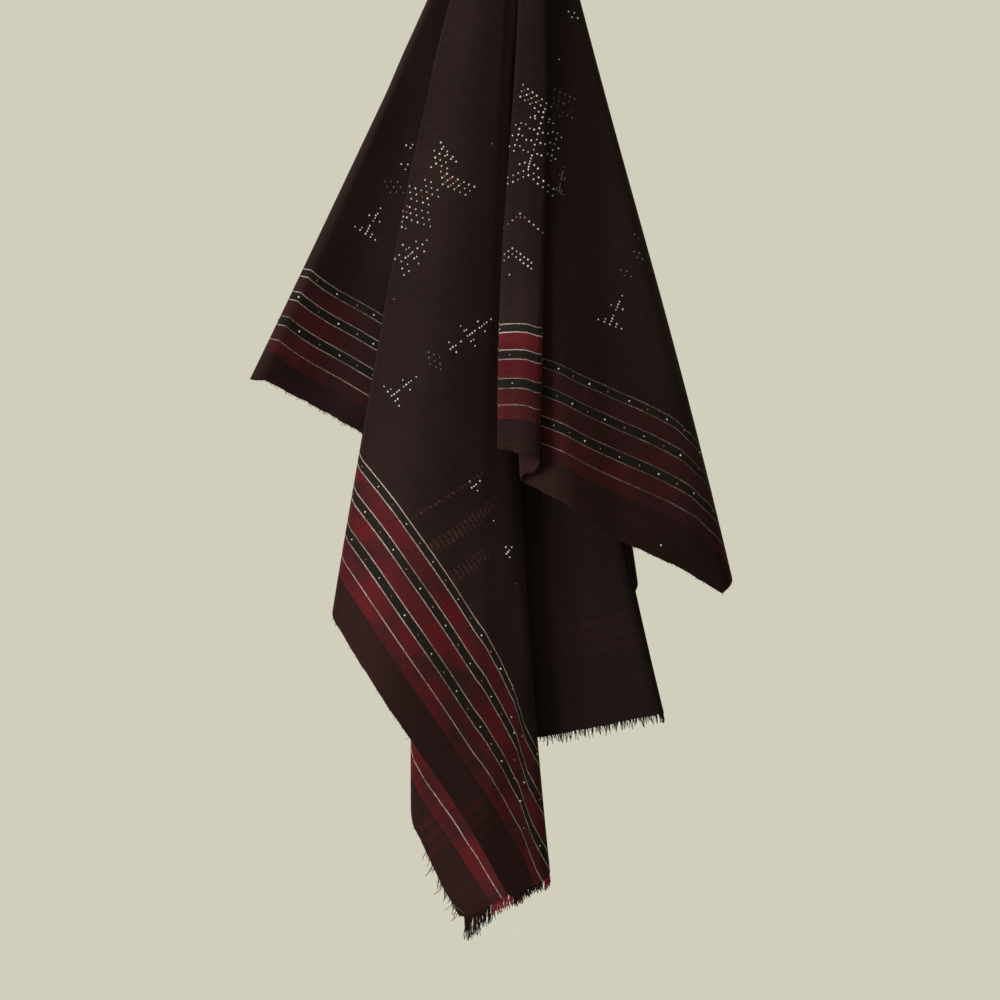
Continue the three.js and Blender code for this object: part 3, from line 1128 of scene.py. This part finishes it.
        # The painted shade and painted light of the ovals.
        tone = graph.times(tone, shade_ovals["Tone"])
        nap = graph.times(graph.noise(place, self.nap_fineness, 3.0), self.nap_relief)
        height = graph.plus(graph.plus(weave["Height"], nap), graph.times(sides["Line"], self.line_relief))
        values = {
            "Base Color": graph.scale(color, tone),
            "Roughness": graph.less(self.roughness, graph.times(weave["Tone"], self.roughness_change)),
            "Normal": graph.bump(self.bump_strength, self.bump_height * MM, height),
        }
        graph.feed(shader, values)
        return material

    def thread(self, yarn: Yarn) -> bpy.types.Material:
        """Spins the material of loose threads or knots, once for each yarn.

        Args:
            yarn: the yarn.

        Returns:
            The material.
        """
        name = f"{yarn.name.lower()}_thread"
        if name in bpy.data.materials:
            return bpy.data.materials[name]
        material, graph, shader = new_material(name, self.shader_values())
        place = graph.add("ShaderNodeTexCoord").outputs["Object"]
        speckle = graph.noise(place, self.speckle_fineness)
        tone = graph.ramp(speckle, *self.noise_range, *self.speckle_range)
        change = graph.times(speckle, self.thread_roughness_change)
        values = {
            "Base Color": graph.scale(self.dyes()[yarn], tone),
            "Roughness": graph.plus(change, self.thread_roughness),
            "Normal": graph.bump(self.thread_bump_strength, self.thread_bump_height * MM, speckle),
        }
        graph.feed(shader, values)
        return material


@dataclass
class Shawl:
    """The draped sheet: two skins, a hem between them and a gathered head.

    The head's rows give how far below the hang point a ring is, and its size beside the neck.
    """

    drape: Drape
    thickness: float = 1.4
    sharp_angle: float = 60.0
    head: tuple[tuple[float, float], ...] = (
        (23.0, 0.99), (16.0, 0.965), (10.0, 0.92), (5.5, 0.85),
        (2.5, 0.74), (0.8, 0.56), (0.2, 0.34), (0.0, 0.12),
    )

    def build(self, finish: WoolFinish) -> bpy.types.Object:
        """Makes the sheet.

        Args:
            finish: the wool's finish.

        Returns:
            The sheet's object.
        """
        drape = self.drape
        half = self.thickness / 2
        outer = (drape.points + drape.normals * half).transpose(1, 0, 2)
        inner = (drape.points - drape.normals * half).transpose(1, 0, 2)
        flat = drape.flat.transpose(1, 0, 2)
        border = drape.border.transpose(1, 0, 2)
        turn = np.radians(drape.angles)
        ray = np.stack([np.cos(turn), np.sin(turn)], axis=-1)
        rings, places = [], []
        for drop, scale in reversed(self.head):
            ring = outer[0] * scale
            ring[:, 2] = -drop
            rings.append(ring)
            places.append(ray * (drop - drape.neck_drop))
        rings += list(outer) + list(inner[::-1])
        places += list(flat) + list(flat[::-1])
        count = len(drape.columns)
        slips = [np.full((count, 2), SideBorder().reach)] * len(self.head)
        slips += list(border) + list(border[::-1])
        base = np.arange(count)
        after = (base + 1) % count
        faces = [
            np.stack([base, base + count, after + count, after], axis=-1) + k * count
            for k in range(len(rings) - 1)
        ]
        faces = [tuple(face) for face in np.concatenate(faces).tolist()]
        faces.append(tuple(range(count)))
        last = len(rings) * count
        faces.append(tuple(range(last - 1, last - count - 1, -1)))
        mesh = bpy.data.meshes.new("shawl_cloth")
        mesh.from_pydata(np.concatenate(rings) * MM, [], faces)
        corners = np.empty(len(mesh.loops), dtype=np.int32)
        mesh.loops.foreach_get("vertex_index", corners)
        for name, rows in ((FLAT_MAP, places), (BORDER_MAP, slips)):
            spots = np.concatenate(rows) * MM
            layer = mesh.uv_layers.new(name=name)
            layer.data.foreach_set("uv", spots[corners].astype(np.float32).ravel())
        mesh.polygons.foreach_set("use_smooth", np.ones(len(mesh.polygons), dtype=bool))
        mesh.set_sharp_from_angle(angle=math.radians(self.sharp_angle))
        mesh.materials.append(finish.cloth(drape.cloth))
        mesh.validate()
        piece = put("shawl_cloth", mesh)
        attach(piece, "root")
        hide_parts("cloth")
        log.info("shawl_cloth: %d faces", len(mesh.polygons))
        return piece


# How thin a thread's tip is beside its root.
TIP_SIZE = 0.6


def spin(
    name: str, threads: list[tuple[list[Vector], Yarn]], radius: float, finish: WoolFinish
) -> bpy.types.Object:
    """Makes one piece of loose threads.

    Args:
        name: the piece's name.
        threads: each thread's points in mm, and its yarn.
        radius: the threads' radius at their roots.
        finish: the wool's finish.

    Returns:
        The piece.
    """
    curve = bpy.data.curves.new(name, "CURVE")
    curve.dimensions = "3D"
    curve.bevel_depth = radius * MM
    curve.bevel_resolution = 0
    curve.use_fill_caps = True
    yarns = list(dict.fromkeys(yarn for _, yarn in threads))
    for yarn in yarns:
        curve.materials.append(finish.thread(yarn))
    for points, yarn in threads:
        spline = curve.splines.new("POLY")
        spline.points.add(len(points) - 1)
        for spot, point, size in zip(spline.points, points, np.linspace(1.0, TIP_SIZE, len(points))):
            spot.co = (*(point * MM), 1)
            spot.radius = size
        spline.material_index = yarns.index(yarn)
    shaped = put(name, curve)
    mesh = bpy.data.meshes.new_from_object(shaped.evaluated_get(bpy.context.evaluated_depsgraph_get()))
    bpy.data.objects.remove(shaped)
    bpy.data.curves.remove(curve)
    mesh.name = name
    piece = put(name, mesh)
    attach(piece, "root")
    log.info("%s: %d threads, %d faces", name, len(threads), len(mesh.polygons))
    return piece


@dataclass
class HemFuzz:
    """The short stray fibres along the shown long edges, or the longer ones of a torn stretch."""

    drape: Drape
    name: str = "hem_fuzz"
    stretches: tuple[tuple[float, float], ...] = ((0.4, 24), (40, 57), (121.6, 129), (191, 221.5))
    yarns: tuple[Yarn, ...] = (Yarn.BROWN,)
    pitch: float = 1.15
    length: float = 1.9
    radius: float = 0.2
    spread: float = 0.9
    outward: float = 0.3
    bend: float = 0.4
    lengths: tuple[float, float] = (0.4, 1.5)
    gaps: tuple[float, float] = (0.5, 1.5)
    root: float = 0.8
    seed: int = 5

    def build(self, finish: WoolFinish) -> bpy.types.Object:
        """Makes the fibres.

        Args:
            finish: the wool's finish.

        Returns:
            The fibres' object.
        """
        chance = np.random.default_rng(self.seed)
        cloth = self.drape.cloth
        threads = []
        for start, end in self.stretches:
            angle = start
            while angle < end:
                reach = cloth.reach(angle)
                turn = math.radians(angle)
                root, normal, down = self.drape.place(reach * math.cos(turn), reach * math.sin(turn))
                side = normal.cross(down)
                lean = side * chance.uniform(-self.spread, self.spread)
                lean += normal * chance.uniform(-self.outward, self.outward)
                length = self.length * chance.uniform(*self.lengths)
                way = (down + lean).normalized()
                bend = side * chance.uniform(-self.bend, self.bend) * length
                points = [root - down * self.root, root + way * length * 0.5, root + way * length + bend]
                threads.append((points, self.yarns[len(threads) % len(self.yarns)]))
                angle += math.degrees(self.pitch / reach) * chance.uniform(*self.gaps)
        piece = spin(self.name, threads, self.radius, finish)
        return piece


@dataclass
class FrayedEnd:
    """The loose threads of one short end."""

    drape: Drape
    low: bool
    pitch: float = 1.05
    margin: float = 1.5
    jitter: float = 0.3
    length: float = 5.4
    uneven: float = 0.6
    frayed_lengths: tuple[float, float] = (0.6, 1.1)
    radius: float = 0.4
    root: float = 1.2
    bare: tuple[float, float] = (215.0, 224.0)
    hang: float = 0.4
    curl: float = 1.0
    waviness: float = 0.4
    lift: float = 0.5
    lock: float = 4.6
    lock_waves: tuple[tuple[float, float], ...] = ((2.2, 0.37), (1.6, 0.23))
    cling: float = 0.6
    fullness: int = 5
    loose: float = 2.6
    steps: tuple[float, ...] = (0.0, 0.2, 0.45, 0.7, 1.0)
    seed: int = 7

    def frayed_at(self, across: float) -> FrayedPlace | None:
        """Returns the frayed stretch at a place across the cloth."""
        found = (place for place in FRAYED_PLACES if self.low and place.start <= across <= place.end)
        return next(found, None)

    def yarn_at(self, across: float) -> Yarn:
        """Tells which yarn of the warp a thread is.

        Args:
            across: its place across the cloth.

        Returns:
            The yarn.
        """
        frayed = self.frayed_at(across)
        if frayed:
            return frayed.yarn
        edge = self.drape.cloth.half_width - abs(across)
        yarn = Yarn.BROWN
        for stripe in SideBorder().stripes:
            if edge >= stripe.start:
                yarn = stripe.yarn
        return yarn

    def build(self, finish: WoolFinish, nodes: tuple[str, ...]) -> bpy.types.Object:
        """Makes the threads.

        Args:
            finish: the wool's finish.
            nodes: the solids that the threads stand for.

        Returns:
            The threads' object.
        """
        name = "fringe_low_end" if self.low else "fringe_high_end"
        chance = np.random.default_rng(self.seed)
        threads = []
        half = self.drape.cloth.half_width
        count = int(2 * (half - self.margin) / self.pitch)
        for i in range(count):
            across = -half + self.margin + self.pitch * (i + chance.uniform(-self.jitter, self.jitter) + 0.5)
            across, along = self.drape.cloth.end_point(across, self.low)
            cloth = cloth_angle(across, along)
            if is_tucked(cloth) or self.bare[0] < cloth < self.bare[1]:
                continue
            for _ in range(self.fullness if self.frayed_at(across) else 1):
                beside = across + chance.uniform(-0.5, 0.5) * self.pitch
                threads.append((self.thread(beside, along, chance), self.yarn_at(across)))
        piece = spin(name, threads, self.radius, finish)
        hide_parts(*nodes)
        return piece

    def thread(self, across: float, along: float, chance: np.random.Generator) -> list[Vector]:
        """Lets one thread hang.

        Args:
            across: its place across the cloth.
            along: its place along the cloth.
            chance: the source of unevenness.

        Returns:
            The thread's points, in mm.
        """
        root, normal, down = self.drape.place(across, along)
        length = self.length * (1 + self.uneven * chance.uniform(-1, 1))
        frayed = self.frayed_at(across)
        loose = self.loose if frayed else 1.0
        if frayed:
            length = frayed.thread * chance.uniform(*self.frayed_lengths)
        inward = 1.0 if across < 0 else -1.0
        sideways = (self.drape.place(across + inward, along)[0] - root) * inward
        spread = across
        for size, rate in self.lock_waves:
            spread += size * math.sin(across * rate)
        gather = (round(spread / self.lock) * self.lock - spread) * self.cling / loose
        down = down.lerp(Vector((0, 0, -1)), self.hang).normalized()
        side = normal.cross(down)
        lean = chance.uniform(-1, 1) * self.curl * loose
        wave = chance.uniform(-1, 1) * self.curl
        start = root - down * self.root
        made = []
        for t in self.steps:
            drop = down * (length + self.root) * t
            aside = lean * t * t + wave * math.sin(math.pi * t) * self.waviness
            out = wave * t * t * self.lift
            made.append(start + drop + side * aside + sideways * gather * t + normal * out)
        return made


MARKS = {"W": Yarn.BRIGHT, "R": Yarn.ROSE, "O": Yarn.OCHRE, "G": Yarn.GREEN}


def mirrored(*halves: str) -> tuple[str, ...]:
    """Returns the rows of a figure with two like sides, from its left side and its middle."""
    return tuple(half + half[-2::-1] for half in halves)


# A pair of drooping branches, which the tree repeats.
BRANCHES = ("..W.W.....W", "W.....W.W..", "..W.......W", "...........")


class Chart(Enum):
    """The small counted figures of knots. Each letter is one knot, a dot is none."""

    ARROW = mirrored(
        "....W",
        ".....",
        "....W",
        "....W",
        "..W.W",
        "....W",
        ".....",
        "....W",
        "....W",
        "..W.W",
        "W.W.W",
    )
    DART = mirrored(
        "....W",
        ".....",
        "....W",
        "..W..",
        "....W",
        ".....",
        "..W.W",
        "W.W.W",
        "....W",
        "....W",
        "..W..",
        "W...W",
        "..W..",
        "W....",
    )
    BUD = mirrored("..W", "...", "..W", "W.W", "..W")
    SPRIG = ("W.W.W.W.W", "..W...W..", "W.W.W....", "W.W....W.", "....W.W.W", "...W.....")
    PAIR = ("W.W", ".W.")
    SQUARE = ("WW", "WW")
    BLOCK = ("WWW", "WWW", "WWW")
    LONG_BLOCK = ("WWWW", "WWWW", "WWWW")
    BAND = ("...WW.", "...WWW", "WWWWWW", "WWRW..", "WWWW..")
    TAIL = (".R", "WR", "WW", "W.", "WW")
    LINE = ("WWWW",)
    SPECK = ("W",)
    FAN = (
        ".....W.....",
        "......W....",
        ".....W.W...",
        ".......W.W.",
        "..W.W.W.W.W",
        "...........",
        "..W.W.W....",
        "...........",
        "..W.W.W....",
        "...........",
        "W..........",
    )
    LADDER = ("W.W.W.W.W.W.W", ".R.R.R.G.....", "W.W.W.W.W.W..", ".G.O.G.......", "W.W.W.W.W....")
    TREE = mirrored(
        "..........W",
        "...........",
        ".......W..W",
        ".....W.W...",
        "..........W",
        "...........",
        *BRANCHES * 2,
        *BRANCHES[:-1],
        "..........W",
        "..........W",
        "........W.W",
        "......W...W",
        "..........W",
    )
    CHEVRON = mirrored(
        "..........W",
        "........W..",
        "......W...W",
        "....W...W..",
        "..W...W....",
        "W...W......",
        "..W........",
        "W..........",
    )
    RED_CHEVRON = (
        "..........W..........",
        "........R.R.W........",
        "......W.......W......",
        "....R...........W....",
        "..R...............W..",
        "....................R",
    )


LEFT_PANEL = frozenset({Layer.LEFT})
FRONT_PANEL = frozenset({Layer.FRONT})
FLAP = frozenset({Layer.FLAP_PLEAT, Layer.FLAP_TUCK, Layer.FLAP_MAIN})


@dataclass(frozen=True)
class Figure:
    """One counted figure, set out as it shows from the front.

    Its middle is at right and up. Its top leans to the right by turn, in degrees, and its rows are off
    square by slant. Its pitch is from column to column, and its rise from row to row.
    """

    chart: Chart
    layers: frozenset[Layer]
    right: float
    up: float
    turn: float = 0.0
    slant: float = 0.0
    pitch: float = 2.45
    rise: float = 2.5
    tint: Yarn | None = None

    def knots(self) -> list[tuple[float, float, Yarn]]:
        """Counts out the knots.

        Returns:
            Each knot's place to the right and up, and its yarn.
        """
        rows = self.chart.value
        turn = math.radians(self.turn)
        square = math.radians(self.turn + self.slant)
        made = []
        for i, row in enumerate(rows):
            for j, mark in enumerate(row):
                if mark not in MARKS:
                    continue
                down = (i - (len(rows) - 1) / 2) * self.rise
                aside = (j - (len(row) - 1) / 2) * self.pitch
                right = self.right - math.sin(turn) * down + math.cos(square) * aside
                up = self.up - math.cos(turn) * down - math.sin(square) * aside
                made.append((right, up, self.tint or MARKS[mark]))
        return made


FIGURES = (
    Figure(Chart.ARROW, LEFT_PANEL, -116.2, -320.5, 31.2, 2.0, 2.5, 2.43),
    Figure(Chart.BLOCK, LEFT_PANEL, -99.1, -292.7, -28.6, 31.8, 5.3, 5.1, Yarn.GREY),
    Figure(Chart.PAIR, LEFT_PANEL, -85.9, -259.4, -23.0, 23.0, 2.4, 2.6),
    Figure(Chart.PAIR, LEFT_PANEL, -89.9, -276.1, -5.0, 11.0, 2.7, 4.0),
    Figure(Chart.FAN, FRONT_PANEL, -59.0, -269.0, -8.0, 33.5, 2.5, 2.6),
    Figure(Chart.LADDER, FRONT_PANEL, -45.9, -291.6, -8.0, 32.8, 2.53, 2.65),
    Figure(Chart.BAND, FRONT_PANEL, -74.5, -296.3, -7.0, 26.0, 4.95, 5.14),
    Figure(Chart.LONG_BLOCK, FRONT_PANEL, -77.9, -317.0, -9.3, 26.7, 5.3, 5.6),
    Figure(Chart.TAIL, FRONT_PANEL, -90.3, -317.2, 4.0, 15.0, 3.1, 4.5),
    Figure(Chart.DART, FRONT_PANEL, -84.6, -346.9, 51.0, 0.0, 2.5, 2.5),
    Figure(Chart.ARROW, FRONT_PANEL, -90.9, -456.4, 52.3, 0.0, 2.45, 2.55),
    Figure(Chart.ARROW, FRONT_PANEL, -28.9, -408.1, 54.8, 0.0, 2.5, 2.38),
    Figure(Chart.BUD, FRONT_PANEL, -48.6, -422.5, 55.3, 0.0, 2.5, 2.6),
    Figure(Chart.BLOCK, FRONT_PANEL, -65.6, -435.1, -7.5, 33.3, 5.04, 5.02, Yarn.GREY),
    Figure(Chart.SPECK, FRONT_PANEL, -99.2, -384.6, tint=Yarn.ROSE),
    Figure(Chart.SPECK, FRONT_PANEL, -18.1, -257.0, tint=Yarn.GREY),
    Figure(Chart.BUD, FRONT_PANEL, -31.9, -536.5, 51.0, 0.0, 2.5, 2.3),
    Figure(Chart.SPECK, FRONT_PANEL, -17.2, -566.3),
    Figure(Chart.BUD, FRONT_PANEL, -4.7, -590.8, 38.7, 31.0, 2.3, 1.65),
    Figure(Chart.SPECK, FRONT_PANEL, 1.4, -618.1, tint=Yarn.GREY),
    Figure(Chart.SQUARE, FLAP, 47.7, -151.8, -33.5, 41.5, 4.8, 5.4),
    Figure(Chart.SPECK, FLAP, 36.3, -188.0),
    Figure(Chart.LADDER, FLAP, 17.1, -223.0, 13.2, 24.7, 2.43, 2.5),
    Figure(Chart.SPRIG, FLAP, 39.7, -226.2, 7.0, 20.0, 2.27, 3.9, Yarn.GREY),
    Figure(Chart.TREE, FLAP, 17.3, -254.7, 15.2, 0.0, 1.93, 2.3),
    Figure(Chart.CHEVRON, FLAP, 10.9, -286.9, 2.5, 8.5, 2.08, 2.55),
    Figure(Chart.ARROW, FLAP, 38.1, -286.4, 12.0, 20.0, 1.2, 2.06, Yarn.GREY),
    Figure(Chart.RED_CHEVRON, FLAP, 4.8, -322.1, -3.0, 5.0, 1.73, 3.0),
    Figure(Chart.CHEVRON, FLAP, -2.1, -351.5, 2.0, -3.3, 1.61, 2.45),
    Figure(Chart.SPECK, FLAP, -4.5, -364.8),
    Figure(Chart.LINE, FLAP, 102.8, -336.0, 0.0, 42.5, 4.0, 4.0, Yarn.GREY),
    Figure(Chart.SQUARE, FLAP, 101.3, -348.9, -29.8, 47.4, 4.1, 5.4, Yarn.GREY),
    Figure(Chart.SQUARE, FLAP, 91.0, -363.5, -38.0, 45.0, 5.1, 5.4, Yarn.GREY),
    Figure(Chart.ARROW, FLAP, 83.0, -393.6, 23.4, -1.0, 2.54, 2.52),
    Figure(Chart.SPECK, FLAP, 119.7, -586.3),
)


@dataclass
class FrontView:
    """Finds which part of the cloth shows at a place in front view."""

    drape: Drape
    eye: Vector
    lift: float
    skin: BVHTree = field(init=False)

    def __post_init__(self) -> None:
        """Stretches the outer skin over the drape's points."""
        drape = self.drape
        points = (drape.points + drape.normals * self.lift).reshape(-1, 3)
        base = np.arange(len(points)).reshape(drape.points.shape[:2])
        after = np.roll(base, -1, axis=0)
        faces = np.stack([base[:, :-1], base[:, 1:], after[:, 1:], after[:, :-1]], axis=-1)
        self.skin = BVHTree.FromPolygons(points.tolist(), faces.reshape(-1, 4).tolist())

    def find(self, right: float, up: float, layers: frozenset[Layer]) -> Spot | None:
        """Finds the skin behind a place, where it is one of the layers.

        Args:
            right: the place to the right.
            up: the place up.
            layers: the layers that count.

        Returns:
            The point, the way out of the sheet and the way down the cloth, or None.
        """
        point, _, face, _ = self.skin.ray_cast(self.eye, Vector((right, 0, up)) - self.eye)
        if face is None:
            return None
        n, j = divmod(face, self.drape.rows)
        if self.drape.columns[n].layer not in layers:
            return None
        down = Vector(self.drape.points[n, j + 1] - self.drape.points[n, j])
        return point, Vector(self.drape.normals[n, j + 1]).normalized(), down.normalized()


@dataclass
class Knots:
    """The small raised knots: counted figures, and the rows along the dark stripes."""

    drape: Drape
    lift: float
    radius: float = 0.95
    rise: float = 0.5
    uneven: float = 0.3
    smallest: float = 0.62
    segments: int = 8
    rings: int = 4
    stripe_places: tuple[float, ...] = (57.8, 82.0, 104.4)
    stripe_pitch: float = 18.8
    stripe_start: float = 0.4
    stagger: float = 0.35
    slip: float = 0.8
    hem_gap: float = 3.0
    seed: int = 11

    def on_stripes(self, chance: np.random.Generator) -> list[tuple[Spot, Yarn]]:
        """Sets out the rows of knots along both side borders.

        Args:
            chance: the source of unevenness.

        Returns:
            Each knot's place on the skin and its yarn.
        """
        drape = self.drape
        low, high = -drape.cloth.high_end, drape.cloth.low_end
        made = []
        for side in (-1, 1):
            for k, place in enumerate(self.stripe_places):
                for n in range(int((high - low) / self.stripe_pitch)):
                    along = low + self.stripe_pitch * (n + self.stagger * k + self.stripe_start)
                    along += chance.uniform(-self.slip, self.slip)
                    across = side * (drape.cloth.half_width - place)
                    cloth = cloth_angle(across, along)
                    across -= side * float(wander(cloth))
                    hem = drape.cloth.reach(cloth) - self.hem_gap
                    if is_tucked(cloth) or math.hypot(across, along) > hem:
                        continue
                    point, normal, down = drape.place(across, along)
                    yarn = Yarn.BRIGHT if (n + k) % 2 else Yarn.ROSE
                    made.append(((point + normal * self.lift, normal, down), yarn))
        return made

    def in_figures(self, view: FrontView, chance: np.random.Generator) -> list[tuple[Spot, Yarn]]:
        """Sets out the counted figures.

        Args:
            view: the cloth in front view.
            chance: the source of unevenness.

        Returns:
            Each knot's place on the skin and its yarn.
        """
        made = []
        for figure in FIGURES:
            for right, up, yarn in figure.knots():
                shift = chance.uniform(-self.uneven, self.uneven, 2)
                found = view.find(right + shift[0], up + shift[1], figure.layers)
                if found:
                    made.append((found, yarn))
        return made

    def build(self, finish: WoolFinish, eye: Vector) -> bpy.types.Object:
        """Makes the knots.

        Args:
            finish: the wool's finish.
            eye: where the figures are set out from.

        Returns:
            The knots' object.
        """
        yarns = (Yarn.BRIGHT, *(yarn for yarn in MARKS.values() if yarn is not Yarn.BRIGHT), Yarn.GREY)
        body = bmesh.new()
        bmesh.ops.create_uvsphere(body, u_segments=self.segments, v_segments=self.rings, radius=1.0)
        pattern = bpy.data.meshes.new("knot")
        body.to_mesh(pattern)
        body.free()
        shape = np.array([vertex.co for vertex in pattern.vertices])
        # The operator lists its faces in no fixed order, so they are sorted.
        sides = sorted(tuple(face.vertices) for face in pattern.polygons)
        bpy.data.meshes.remove(pattern)
        chance = np.random.default_rng(self.seed)
        placed = self.in_figures(FrontView(self.drape, eye, self.lift), chance) + self.on_stripes(chance)
        points, faces, slots = [], [], []
        for count, ((point, normal, down), yarn) in enumerate(placed):
            size = self.radius * chance.uniform(self.smallest, 1.0)
            axes = np.array([down.cross(normal).normalized() * size, down * size, normal * self.rise])
            points.append(shape @ axes + np.array(point))
            faces += [tuple(count * len(shape) + i for i in side) for side in sides]
            slots += [yarns.index(yarn)] * len(sides)
        mesh = bpy.data.meshes.new("knots")
        mesh.from_pydata(np.concatenate(points) * MM, [], faces)
        mesh.polygons.foreach_set("material_index", slots)
        mesh.polygons.foreach_set("use_smooth", [True] * len(slots))
        for yarn in yarns:
            mesh.materials.append(finish.thread(yarn))
        piece = put("knots", mesh)
        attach(piece, "root")
        log.info("knots: %d knots, %d faces", len(placed), len(mesh.polygons))
        return piece


@dataclass
class Studio:
    """The pale floor, the soft light and the camera straight in front."""

    camera_place: tuple[float, float, float] = (-0.0123, -3.5, -0.5494)
    view_width: float = 0.82
    sensor: float = 36.0
    floor_height: float = -1.25
    floor_half: float = 2.2
    floor_specular: float = 0.2
    floor_tones: tuple[Color, Color] = ((0.66, 0.65, 0.58), (0.72, 0.71, 0.64))
    floor_fineness: float = 3.0
    air: Color = (0.64, 0.62, 0.50)
    air_light: float = 0.5
    key_place: tuple[float, float, float] = (-2.9, -1.9, 0.3)
    key_aim: tuple[float, float, float] = (0.0, 0.0, -0.5)
    key_size: float = 1.5
    key_power: float = 115.0

    def build(self) -> None:
        """Makes the camera first, then the floor and the light."""
        scene = bpy.context.scene
        lens = bpy.data.cameras.new("camera")
        lens.sensor_width = self.sensor
        lens.lens = self.sensor * -self.camera_place[1] / self.view_width
        camera = put("camera", lens)
        camera.location = self.camera_place
        camera.rotation_euler = (math.pi / 2, 0, 0)
        scene.camera = camera
        self.add_floor()
        self.add_light()
        scene.view_settings.view_transform = "Standard"
        log.info("studio: camera, floor and light")

    def add_floor(self) -> None:
        """Lays the pale floor."""
        body = bmesh.new()
        bmesh.ops.create_grid(body, x_segments=1, y_segments=1, size=self.floor_half)
        bmesh.ops.translate(body, vec=(0, 0, self.floor_height), verts=body.verts)
        mesh = bpy.data.meshes.new("floor")
        body.to_mesh(mesh)
        body.free()
        material, graph, shader = new_material("pale_floor", {"Specular IOR Level": self.floor_specular})
        place = graph.add("ShaderNodeTexCoord").outputs["Object"]
        color = graph.mix(graph.noise(place, self.floor_fineness), *self.floor_tones)
        graph.feed(shader, {"Base Color": color})
        mesh.materials.append(material)
        put("floor", mesh)

    def add_light(self) -> None:
        """Sets the pale air and one large soft lamp at the left in front."""
        world = bpy.data.worlds.new("air")
        world.use_nodes = True
        graph = Graph(world.node_tree)
        seen = graph.add("ShaderNodeLightPath").outputs["Is Camera Ray"]
        strength = graph.ramp(seen, 0.0, 1.0, bottom=self.air_light)
        graph.feed(world.node_tree.nodes["Background"], {"Color": (*self.air, 1), "Strength": strength})
        bpy.context.scene.world = world
        lamp = bpy.data.lights.new("key", "AREA")
        lamp.size = self.key_size
        lamp.energy = self.key_power
        key = put("key", lamp)
        key.location = self.key_place
        aim = Vector(self.key_aim) - Vector(self.key_place)
        key.rotation_euler = aim.to_track_quat("-Z", "Y").to_euler()


def plain(corners: tuple[Vector, Vector]) -> list[list[float]]:
    """Returns a box's two corners as lists of numbers."""
    return [[float(value) for value in corner] for corner in corners]


def main() -> None:
    """Builds the scene in order."""
    logging.basicConfig(level=logging.INFO, format="%(name)s: %(message)s")
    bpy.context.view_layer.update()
    studio = Studio()
    studio.build()
    drape = Drape()
    finish = WoolFinish()
    shawl = Shawl(drape)
    cloth = shawl.build(finish)
    names = [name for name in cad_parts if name.startswith("fringe")]
    high_names = tuple(name for name in names if name.startswith("fringe_far"))
    low_names = tuple(name for name in names if name not in high_names)
    low_end = FrayedEnd(drape, low=True).build(finish, low_names)
    high_end = FrayedEnd(drape, low=False, pitch=3.0, seed=8).build(finish, high_names)
    fuzz = HemFuzz(drape).build(finish)
    torn = HemFuzz(
        drape,
        name="torn_hem",
        stretches=((123.9, 126.2),),
        yarns=(Yarn.BROWN, Yarn.GREY, Yarn.ROSE),
        pitch=0.8,
        length=7.5,
        radius=0.36,
        seed=9,
    ).build(finish)
    knots = Knots(drape, shawl.thickness / 2).build(finish, Vector(studio.camera_place) / MM)
    drape.cloth.size()


if __name__ == "__main__":
    main()
